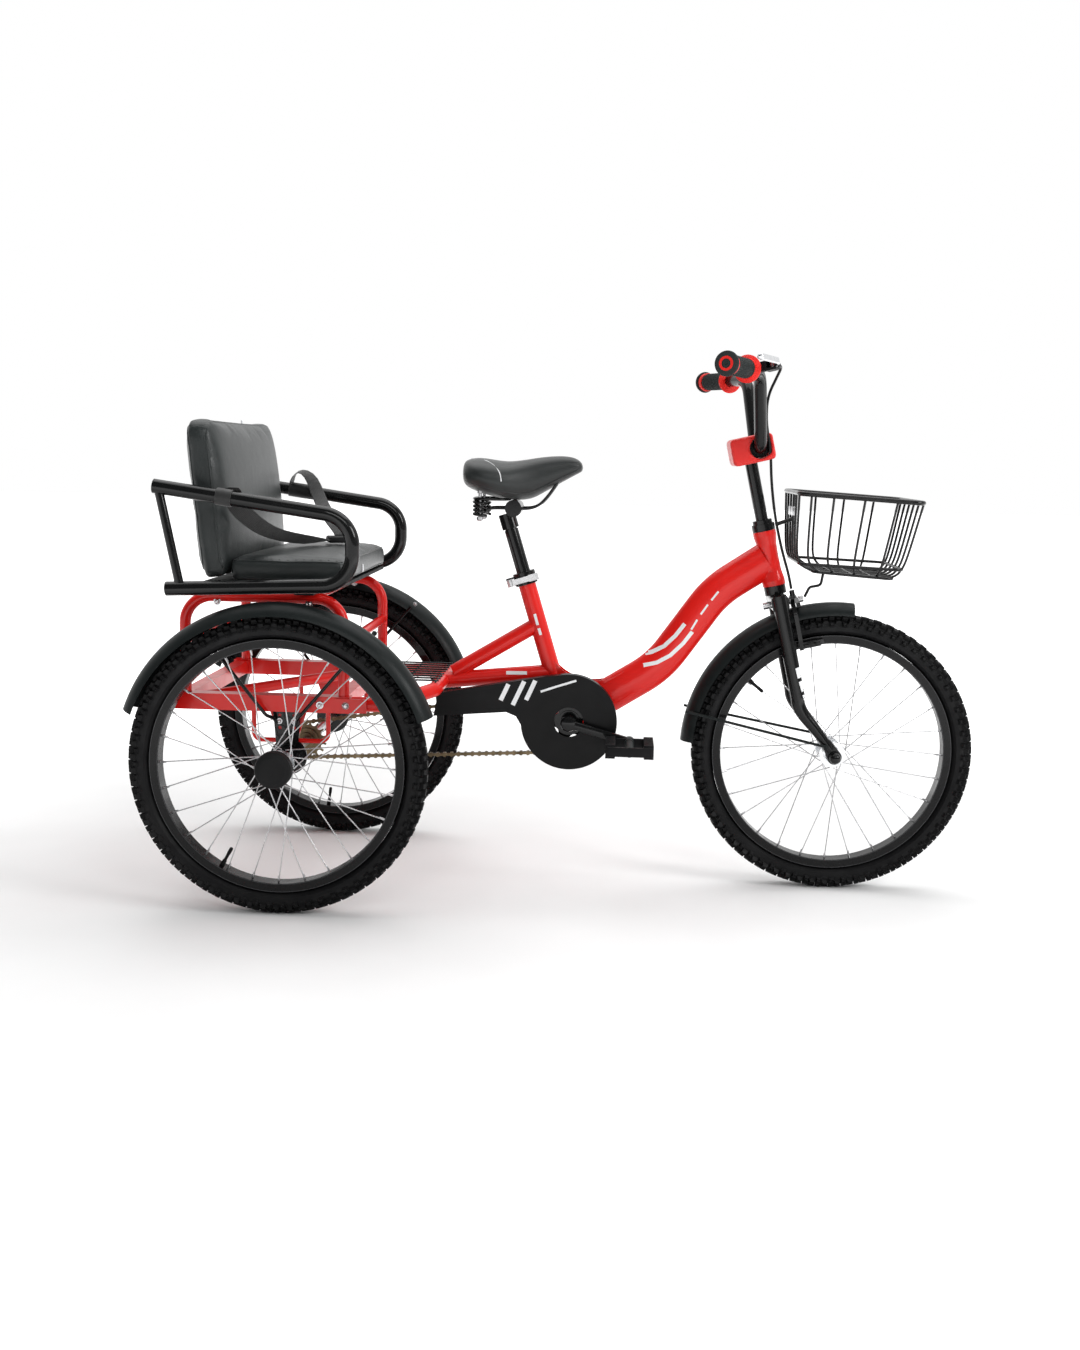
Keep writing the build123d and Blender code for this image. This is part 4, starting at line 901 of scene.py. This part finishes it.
def closed_turn(bm, profile, place, steps=40):
    verts = [bm.verts.new((r, 0, h)) for r, h in profile]
    edges = [bm.edges.new(pair) for pair in zip(verts, verts[1:] + verts[:1])]
    bmesh.ops.spin(bm, geom=verts + edges, cent=(0, 0, 0), axis=(0, 0, 1), angle=2 * pi, steps=steps,
                   use_merge=True)
    made = reach(verts)
    bmesh.ops.transform(bm, matrix=place, verts=made)
    return made


GRIP_BORE = 11.3


def grips():
    dark = bmesh.new()
    red = bmesh.new()
    for side in (-1, 1):
        place = grip_matrix(side)
        ribs = [(GRIP_BORE, -99)]
        height = -99
        while height < -20:
            ribs += [(15.2, height), (16.2, height + 1), (16.2, height + 3.2), (15.2, height + 4.2)]
            height += 6.2
        ribs += [(15.2, -15), (GRIP_BORE, -15)]
        closed_turn(dark, ribs, place)
        closed_turn(dark, ((0.5, 3.2), (2.4, 3.2), (3.2, 4.4), (17, 4.4), (19.4, 3), (20.2, 0), (19.4, -3),
                           (16.5, -4), (0.5, -4)), place)
        closed_turn(red, ((GRIP_BORE, -15), (16.6, -15), (17.4, -13), (17.4, -6), (16.6, -4.2),
                          (GRIP_BORE, -4.2)), place)
        closed_turn(red, ((GRIP_BORE, -112), (21, -112), (23, -110.5), (23, -108), (21, -106), (17.6, -104),
                          (16.8, -99), (GRIP_BORE, -99)), place)
        closed_turn(red, ((7.5, 4.0), (11.5, 4.0), (11.5, 5.0), (7.5, 5.0)), place)
    made = piece("grip_sleeves", dark, "steering", "grip_rubber")
    piece("grip_rings", red, "steering", "pad_red", RED_RUBBER)
    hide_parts("grips")


def bar_cover():
    """Foam cover over the stem clamp, its notches kept and its corners softened."""
    bm = node_copy("bar_pad")
    bm.transform(PLACE)
    mesh = meshed("bar_cover", bm)
    mesh = remeshed(mesh, 3.0, "bar_cover")
    smoothed(mesh, 4)
    mesh.shade_smooth()
    made = link("bar_cover", mesh, "steering", [SLOT_FINISH["pad_red"]])
    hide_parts("bar_pad")


# Basket

# (depth, rear X, front X, half width, rear Z, front Z) from the rim down to the floor
BASKET_LEVELS = ((0.0, 868, 1080, 116, 724, 712), (0.8, 869, 1060, 99, 622, 616),
                 (0.93, 877, 1051, 93, 597, 590), (1.0, 903, 1036, 88, 588, 578))


def basket_point(along, across, depth):
    """along 0 to 1 from the rear, across -1 to 1, depth 0 at the rim to 1 at the floor."""
    for upper, lower in zip(BASKET_LEVELS, BASKET_LEVELS[1:]):
        if depth <= lower[0]:
            break
    share = (depth - upper[0]) / (lower[0] - upper[0])
    rear_x, front_x, half, rear_z, front_z = (a + (b - a) * share for a, b in zip(upper[1:], lower[1:]))
    return Vector((rear_x + (front_x - rear_x) * along, half * across, rear_z + (front_z - rear_z) * along))


def basket_hoop(level, corner=0.2):
    inner = 1 - 2 * corner
    route = ((0, -inner), (0, inner), (0, 1), (corner, 1), (1 - corner, 1), (1, 1), (1, inner), (1, -inner),
             (1, -1), (1 - corner, -1), (corner, -1), (0, -1))
    return [basket_point(along, across, level) for along, across in route], True


def basket():
    made = wires("basket_rim", [basket_hoop(0.0)], 4.2, "steering", "basket_wire", sides=4)
    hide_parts("basket")
    down = ((0, 0.0), (0, 0.15), (0, 0.78), (0, 0.9), (0, 0.97), (0.12, 1.0))
    run = down + ((0.5, 1.0),) + tuple((1 - along, depth) for along, depth in reversed(down))
    ribs = []
    for across in (-0.86, -0.52, -0.17, 0.17, 0.52, 0.86):
        ribs.append(([basket_point(along, across, depth) for along, depth in run], False))
    for along in (0.09, 0.27, 0.52, 0.78):
        ribs.append(([basket_point(along, 2 * side - 1, depth) for side, depth in run], False))
    wires("basket_ribs", ribs, 2.1, "steering", "basket_wire")
    wires("basket_floor_hoops", [basket_hoop(0.99), basket_hoop(0.9)], 2.7, "steering", "basket_wire")
    clips = bmesh.new()
    for across in (-0.17, 0.17):
        block(clips, (6, 22, 16), Matrix.Translation(basket_point(0, across, 0.26)), 1.5)
    for along in (0.3, 0.6):
        turned(clips, BOLT, aim(basket_point(along, 0, 1.0) - Vector((0, 0, 3)), (0, 0, -1)), 12)
    piece("basket_clips", clips, "steering", "steel")


# Belt

# Section of the webbing: soft edges and a slightly thicker middle, in half widths and half thicknesses
WEBBING_SECTION = ((-1, -0.6), (-0.94, -1), (0, -1.1), (0.94, -1), (1, -0.6),
                   (1, 0.6), (0.94, 1), (0, 1.1), (-0.94, 1), (-1, 0.6))


def strap(name, route, width_dir, width, thickness, body):
    """Flat webbing along a route. UV runs in metres across and along it."""
    bm = bmesh.new()
    route = [Vector(p) for p in route]
    rings = []
    lengths = [0.0]
    for here, there in zip(route, route[1:]):
        lengths.append(lengths[-1] + (there - here).length)
    for index, point in enumerate(route):
        ahead = (route[min(index + 1, len(route) - 1)] - route[max(index - 1, 0)]).normalized()
        wide = Vector(width_dir[index])
        wide = (wide - ahead * wide.dot(ahead)).normalized()
        up = ahead.cross(wide)
        rings.append([point + wide * (a * width / 2) + up * (b * thickness / 2) for a, b in WEBBING_SECTION])
    loops = loft(bm, rings)
    layer = bm.loops.layers.uv.new("UVMap")
    spot = {}
    for index, loop in enumerate(loops):
        for edge in loop:
            for vert in edge.verts:
                offset = vert.co - route[index]
                wide = Vector(width_dir[index]).normalized()
                spot[vert] = (offset.dot(wide) * MILLIMETRE, lengths[index] * MILLIMETRE)
    for face in bm.faces:
        for corner in face.loops:
            corner[layer].uv = spot.get(corner.vert, (0, 0))
    made = piece(name, bm, body, "belt_webbing", sharp=60)
    subdivided(made)
    return made


ARMREST_REAR = -206
ARMREST_TOP = 716
ARMREST_FALL = 45
ARMREST_RUN = 330


def belt():
    near = [(-80, -262, 717), (-79, -246, 706), (-77, -232, 684), (-64, -180, 658), (-52, -120, 637),
            (-34, -70, 626), (4, -18, 616), (26, 34, 614)]
    near_wide = [(1, 0, 0.1)] * 2 + [(1, 0.1, 0.4)] * 5 + [(1, -0.4, 0)]
    made = strap("belt_right", near, near_wide, 34, 1.8, "frame")
    far = [(-98, 262, 706), (-94, 252, 722), (-84, 249, 737), (-68, 248, 738), (-50, 243, 722),
           (-37, 232, 690), (-12, 180, 662), (15, 125, 643), (34, 104, 628), (37, 88, 618)]
    far_wide = [(0.2, 0.9, 0.3)] * 4 + [(0.5, 0.5, 0.5)] * 2 + [(1, 0.2, 0.3)] * 4
    strap("belt_left", far, far_wide, 26, 1.8, "frame")
    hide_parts("lap_belt")
    bm = bmesh.new()
    block(bm, (34, 58, 11), Matrix.Translation((33, 60, 616)) @ Matrix.Rotation(radians(18), 4, "Z"), 3, 0.92)
    block(bm, (22, 12, 13), Matrix.Translation((36, 86, 617)) @ Matrix.Rotation(radians(18), 4, "Z"), 2, 0.9)
    piece("belt_buckle", bm, "frame", "plastic_black")
    bm = bmesh.new()
    for x, y, reach_x in ((-88, -262, 5), (-73, 262, 20)):
        closed_turn(bm, ((12.4, -reach_x - 8), (14.2, -reach_x - 8), (14.4, 0), (14.2, reach_x + 8),
                         (12.4, reach_x + 8)),
                    aim((x, y, armrest_height(x)), (1, 0, -ARMREST_FALL / ARMREST_RUN)), 24)
    piece("belt_sleeves", bm, "frame", "belt_webbing")


def armrest_height(x):
    """Height of the armrest's upper tube above this point of its length."""
    return ARMREST_TOP - ARMREST_FALL * (x - ARMREST_REAR) / ARMREST_RUN


# Fixings

def bolts(name, body, places, scale=1.0):
    bm = bmesh.new()
    for point, direction in places:
        turned(bm, [(r * scale, h * scale) for r, h in BOLT], aim(point, direction), 12)
    return piece(name, bm, body, "steel")


def fixings():
    bolts("frame_bolts", "frame", [((-118, -208, 522), (0, -1, 0)), ((40, -208, 522), (0, -1, 0)),
                                   ((-118, 208, 522), (0, 1, 0)), ((40, 208, 522), (0, 1, 0)),
                                   ((104, -218, 350), (0, -1, 0)), ((104, 218, 350), (0, 1, 0)),
                                   ((60, -218, 350), (0, -1, 0)), ((60, 218, 350), (0, 1, 0))])
    bm = bmesh.new()
    dome = ((0, 8.5), (4, 8), (7.5, 6), (9.6, 2.5), (10.2, 0), (10.2, -3), (0, -3))
    for side in (-1, 1):
        turned(bm, dome, sideways((FRONT_AXLE_X, side * 64.5, AXLE_Z), side), 20)
    piece("front_axle_caps", bm, "steering", "black_paint")
    bolts("fender_bolts", "frame", [((157, side * 238, 479), (0, -side, 0.2)) for side in (-1, 1)], 0.7)
    bolts("carrier_bolts", "frame",
          [((x, side * 195.5, 316), (0, side, 0)) for x in (-15, 10) for side in (-1, 1)], 0.8)


def footrest():
    """Wires that run lengthwise over the loop, tied underneath by three cross wires."""
    low, high = (PLACE.inverted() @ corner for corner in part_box("footrest_grid"))
    runs = []
    count = 9
    for step in range(count):
        y = low.y + 6 + (high.y - low.y - 12) * step / (count - 1)
        runs.append(([(low.x + 1.5, y, high.z - 2.2), (high.x - 1.5, y, high.z - 2.2)], False))
    for share in (0.06, 0.5, 0.94):
        x = low.x + (high.x - low.x) * share
        runs.append(([(x, low.y + 2, high.z - 6.0), (x, high.y - 2, high.z - 6.0)], False))
    made = wires("footrest_wires", runs, 1.7, "frame", "black_paint", order=2)
    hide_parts("footrest_grid")


# Chain

CHAIN_SIDE = -45.0
RING_RADIUS = 56.7
SPROCKET_RADIUS = 32.55
CHAIN_PITCH = 12.7


def chain_pins():
    """Evenly spaced pin positions round the chainring and the axle sprocket."""
    run = BRACKET - Vector((0, 0, AXLE_Z))
    run.y = 0
    lean = atan2(run.z, run.x)
    flare = asin((RING_RADIUS - SPROCKET_RADIUS) / run.length)
    axle = Vector((0, CHAIN_SIDE, AXLE_Z))
    ring = Vector((BRACKET.x, CHAIN_SIDE, BRACKET.z))

    def on(centre, radius, angle):
        return centre + Vector((radius * cos(angle), 0, radius * sin(angle)))

    top = lean + pi / 2 + flare
    foot = lean - pi / 2 - flare
    arc = 60
    line = [on(ring, RING_RADIUS, foot + (top - foot) * step / arc) for step in range(arc + 1)]
    line += [on(axle, SPROCKET_RADIUS, top + (foot + 2 * pi - top) * step / arc) for step in range(arc + 1)]
    line.append(line[0])
    total = sum((b - a).length for a, b in zip(line, line[1:]))
    count = 2 * round(total / CHAIN_PITCH / 2)
    pins = []
    gap = total / count
    travelled = 0.0
    for a, b in zip(line, line[1:]):
        length = (b - a).length
        while len(pins) < count and len(pins) * gap <= travelled + length:
            pins.append(a.lerp(b, (len(pins) * gap - travelled) / length))
        travelled += length
    return pins


def chain_links():
    """Waisted side plates over rollers, inner and outer pairs in turn."""
    bm = bmesh.new()
    pins = chain_pins()
    for index, (here, there) in enumerate(zip(pins, pins[1:] + pins[:1])):
        along = (there - here).normalized()
        place = axes(along, Vector((0, 1, 0)), along.cross(Vector((0, 1, 0))))
        centre = (here + there) / 2
        offset = 3.3 if index % 2 else 2.1
        for side in (-1, 1):
            middle_place = Matrix.Translation(centre + Vector((0, side * offset, 0))) @ place
            for end in (-1, 1):
                head = (middle_place @ Matrix.Translation((end * CHAIN_PITCH / 2, 0, 0))
                        @ Matrix.Rotation(pi / 2, 4, "X"))
                bmesh.ops.create_cone(bm, cap_ends=True, segments=10, radius1=4.2, radius2=4.2, depth=1.1,
                                      matrix=head)
            block(bm, (CHAIN_PITCH - 4, 1.0, 4.6), middle_place)
        pin = Matrix.Translation(here) @ Matrix.Rotation(pi / 2, 4, "X")
        bmesh.ops.create_cone(bm, cap_ends=True, segments=8, radius1=1.8, radius2=1.8, depth=9.0, matrix=pin)
        bmesh.ops.create_cone(bm, cap_ends=True, segments=10, radius1=3.8, radius2=3.8, depth=3.2, matrix=pin)
    made = piece("chain_links", bm, "frame", "chain_bronze")
    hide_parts("chain")


# Pedals

def pedals():
    for name, node, body in (("right", "pedal_right", "pedal_right_body"),
                             ("left", "pedal_left", "pedal_left_body")):
        low, high = (PLACE.inverted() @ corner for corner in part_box(node))
        centre = (low + high) / 2
        size = high - low
        bm = bmesh.new()
        for end in (-1, 1):
            x = centre.x + end * (size.x / 2 - 8.5)
            block(bm, (14, size.y - 4, size.z - 7), Matrix.Translation((x, centre.y, centre.z)), 2)
            for rib in range(8):
                y = low.y + 7 + rib * (size.y - 14) / 7
                block(bm, (17, 4.5, size.z), Matrix.Translation((x, y, centre.z)), 1)
        for side in (-1, 1):
            y = centre.y + side * (size.y / 2 - 2.5)
            block(bm, (size.x - 6, 5, size.z - 8), Matrix.Translation((centre.x, y, centre.z)), 2)
        made = piece(f"pedal_{name}_treads", bm, body, "plastic_black")
        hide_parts(node)
        bm = bmesh.new()
        half = size.y / 2
        closed_turn(bm, ((4.8, -half + 1), (9, -half + 1), (9, -half + 12), (7.5, -half + 14),
                         (7.5, half - 14), (9, half - 12), (9, half - 1), (4.8, half - 1)),
                    aim(centre, (0, 1, 0)), 28)
        piece(f"pedal_{name}_barrel", bm, body, "grip_rubber")


def crank_arms():
    """Slim arms on a spindle with a domed boss at each end, and the pedal spindles."""
    bm = bmesh.new()
    spindle = ((0, 77), (6, 77), (12, 75), (14.5, 71), (14.5, 65), (9, 63))
    turned(bm, spindle + tuple((r, -h) for r, h in reversed(spindle)), aim(BRACKET, (0, 1, 0)), 32)
    for node, side in (("pedal_right", -1), ("pedal_left", 1)):
        low, high = (PLACE.inverted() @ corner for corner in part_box(node))
        tip = (low + high) / 2
        tip.y = side * 70
        start = Vector((BRACKET.x, side * 70, BRACKET.z))
        along = (tip - start).normalized()
        place = axes(along, Vector((0, 1, 0)), along.cross(Vector((0, 1, 0))))
        block(bm, ((tip - start).length, 10, 16), Matrix.Translation((start + tip) / 2) @ place, 3)
        turned(bm, ((0, 6), (9, 6), (10.5, 4.5), (10.5, -4.5), (9, -6), (0, -6)), aim(tip, (0, 1, 0)), 24)
        turned(bm, ((0, 88), (4.5, 88), (4.5, 0), (0, 0)), aim(tip, (0, side, 0)), 16)
    made = piece("crank_arms", bm, "crank_set", "black_paint")
    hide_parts("crank")


# Printed stripes

def stripe(name, path, width, node, body, from_side=-400.0):
    """A thin printed stripe thrown sideways on a CAD node's surface."""
    bm = bmesh.new()
    steps = 4 * (len(path) - 1)
    bmesh.ops.create_grid(bm, x_segments=steps, y_segments=4, size=0.5)
    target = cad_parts[node]
    direction = Vector((0, 1 if from_side < 0 else -1, 0))
    for vert in list(bm.verts):
        place = (vert.co.x + 0.5) * (len(path) - 1)
        index = min(int(place), len(path) - 2)
        here, there = (Vector((x, 0, z)) for x, z in path[index:index + 2])
        along = (there - here).normalized()
        across = Vector((-along.z, 0, along.x))
        spot = here.lerp(there, place - index) + across * (vert.co.y * width)
        spot.y = from_side
        hit, where, normal, _ = target.ray_cast(metres(spot), direction)
        if hit:
            vert.co = PLACE.inverted() @ where + normal * 0.25
        else:
            vert.co = spot
            vert.tag = True
    lost = [v for v in bm.verts if v.tag]
    bmesh.ops.delete(bm, geom=lost, context="VERTS")
    bmesh.ops.solidify(bm, geom=bm.faces[:], thickness=0.15)
    return piece(name, bm, body, "steel", PALE)


def prints():
    """Plain pale stripes where the makers put their lettering."""
    rows = (("guard_stripe", "chain_guard", "frame",
             ((((356, 340), (374, 380)), 8), (((378, 332), (398, 376)), 8), (((402, 342), (418, 378)), 8),
              (((428, 358), (456, 368), (492, 380)), 4))),
            ("tube_stripe", "front_frame", "frame",
             ((((604, 424), (626, 430), (648, 442), (668, 462), (684, 484)), 7),
              (((612, 406), (636, 412), (660, 426), (682, 448), (698, 470)), 7),
              (((696, 474), (706, 492)), 3.5), (((712, 502), (724, 520)), 3.5),
              (((730, 528), (742, 544)), 3.5))),
            ("fork_stripe", "fork", "steering",
             ((((884, 416), (889, 398)), 8), (((891, 392), (897, 374)), 8), (((899, 368), (905, 350)), 8))),
            ("seat_tube_stripe", "front_frame", "frame",
             ((((418, 474), (412, 494)), 5), (((424, 456), (420, 468)), 5))),
            ("stay_label", "front_frame", "frame", ((((362, 384), (400, 385)), 6),)),)
    for name, node, body, marks in rows:
        for number, (path, width) in enumerate(marks):
            stripe(f"{name}_{number}", path, width, node, body)


# Studio

def floor():
    bm = bmesh.new()
    bmesh.ops.create_grid(bm, x_segments=1, y_segments=1, size=20)
    mesh = meshed("floor", bm)
    made = placed("floor", mesh)
    material, tree = graph("pale_floor")
    surface = shader(tree)
    tree.links.new(ramp(tree, field(tree, 3, 3).outputs["Fac"], (0.86, 0.86, 0.86), (0.90, 0.90, 0.90)),
                   surface.inputs["Base Color"])
    surface.inputs["Roughness"].default_value = 0.8
    place = tree.nodes.new("ShaderNodeTexCoord")
    distance = tree.nodes.new("ShaderNodeVectorMath")
    distance.operation = "LENGTH"
    tree.links.new(place.outputs["Object"], distance.inputs[0])
    fade = tree.nodes.new("ShaderNodeMapRange")
    fade.interpolation_type = "SMOOTHERSTEP"
    fade.inputs["From Min"].default_value = 0.9
    fade.inputs["From Max"].default_value = 2.4
    tree.links.new(distance.outputs["Value"], fade.inputs["Value"])
    tree.links.new(fade.outputs["Result"], surface.inputs["Emission Strength"])
    surface.inputs["Emission Color"].default_value = (1, 1, 1, 1)
    mesh.materials.append(material)


def light(name, place, target, size, power):
    data = bpy.data.lights.new(name, "AREA")
    data.shape = "RECTANGLE"
    data.size, data.size_y = size
    data.energy = power
    made = placed(name, data)
    made.location = place
    made.rotation_euler = (Vector(target) - Vector(place)).to_track_quat("-Z", "Y").to_euler()


def studio():
    """A white room, bright behind the object and dimmer on the seen side, with three large soft lamps."""
    world = bpy.data.worlds.new("studio")
    bpy.context.scene.world = world
    world.use_nodes = True
    tree = world.node_tree
    direction = tree.nodes.new("ShaderNodeTexCoord")
    split = tree.nodes.new("ShaderNodeSeparateXYZ")
    tree.links.new(direction.outputs["Generated"], split.inputs["Vector"])
    wall = tree.nodes.new("ShaderNodeMapRange")
    wall.inputs["From Min"].default_value = -0.25
    wall.inputs["From Max"].default_value = 0.35
    wall.inputs["To Min"].default_value = 0.12
    wall.inputs["To Max"].default_value = 0.95
    tree.links.new(split.outputs["Y"], wall.inputs["Value"])
    ray = tree.nodes.new("ShaderNodeLightPath")
    seen = tree.nodes.new("ShaderNodeMath")
    seen.operation = "MAXIMUM"
    tree.links.new(ray.outputs["Is Camera Ray"], seen.inputs[0])
    tree.links.new(wall.outputs["Result"], seen.inputs[1])
    tree.links.new(seen.outputs["Value"], tree.nodes["Background"].inputs["Strength"])
    tree.nodes["Background"].inputs["Color"].default_value = (1, 1, 1, 1)
    bpy.context.scene.view_settings.view_transform = "Standard"
    light("front_key", (3.0, -1.6, 2.2), (-0.2, 0, 0.5), (1.4, 1.4), 62)
    light("side_fill", (0.6, -3.6, 3.0), (0, 0, 0.4), (2.6, 1.0), 34)
    light("top", (0, 0.6, 4.2), (0, 0, 0.3), (5.0, 3.6), 120)


CAMERA_PLACE = Vector((0.0839, -2.5837, 0.7808))
CAMERA_YAW = -0.0527
CAMERA_PITCH = 0.1538
CAMERA_ROLL = -0.0216
SENSOR_WIDTH = 36
FOCAL_LENGTH = 37.96


def camera():
    yaw, pitch, roll = CAMERA_YAW, CAMERA_PITCH, CAMERA_ROLL
    ahead = Vector((sin(yaw) * cos(pitch), cos(yaw) * cos(pitch), -sin(pitch)))
    right = Vector((cos(yaw), -sin(yaw), 0))
    down = ahead.cross(right)
    turned_right = right * cos(roll) + down * sin(roll)
    turned_down = down * cos(roll) - right * sin(roll)
    data = bpy.data.cameras.new("camera")
    data.sensor_width = SENSOR_WIDTH
    data.lens = FOCAL_LENGTH
    made = placed("camera", data)
    turn = axes(turned_right, -turned_down, -ahead)
    made.matrix_world = Matrix.Translation(CAMERA_PLACE) @ turn
    bpy.context.scene.camera = made


camera()
studio()
floor()
wheels()
passenger_seat()
saddle_piping(saddle_cover())
saddle_mount()
grips()
bar_cover()
basket()
belt()
fixings()
footrest()
chain_links()
crank_arms()
pedals()
prints()
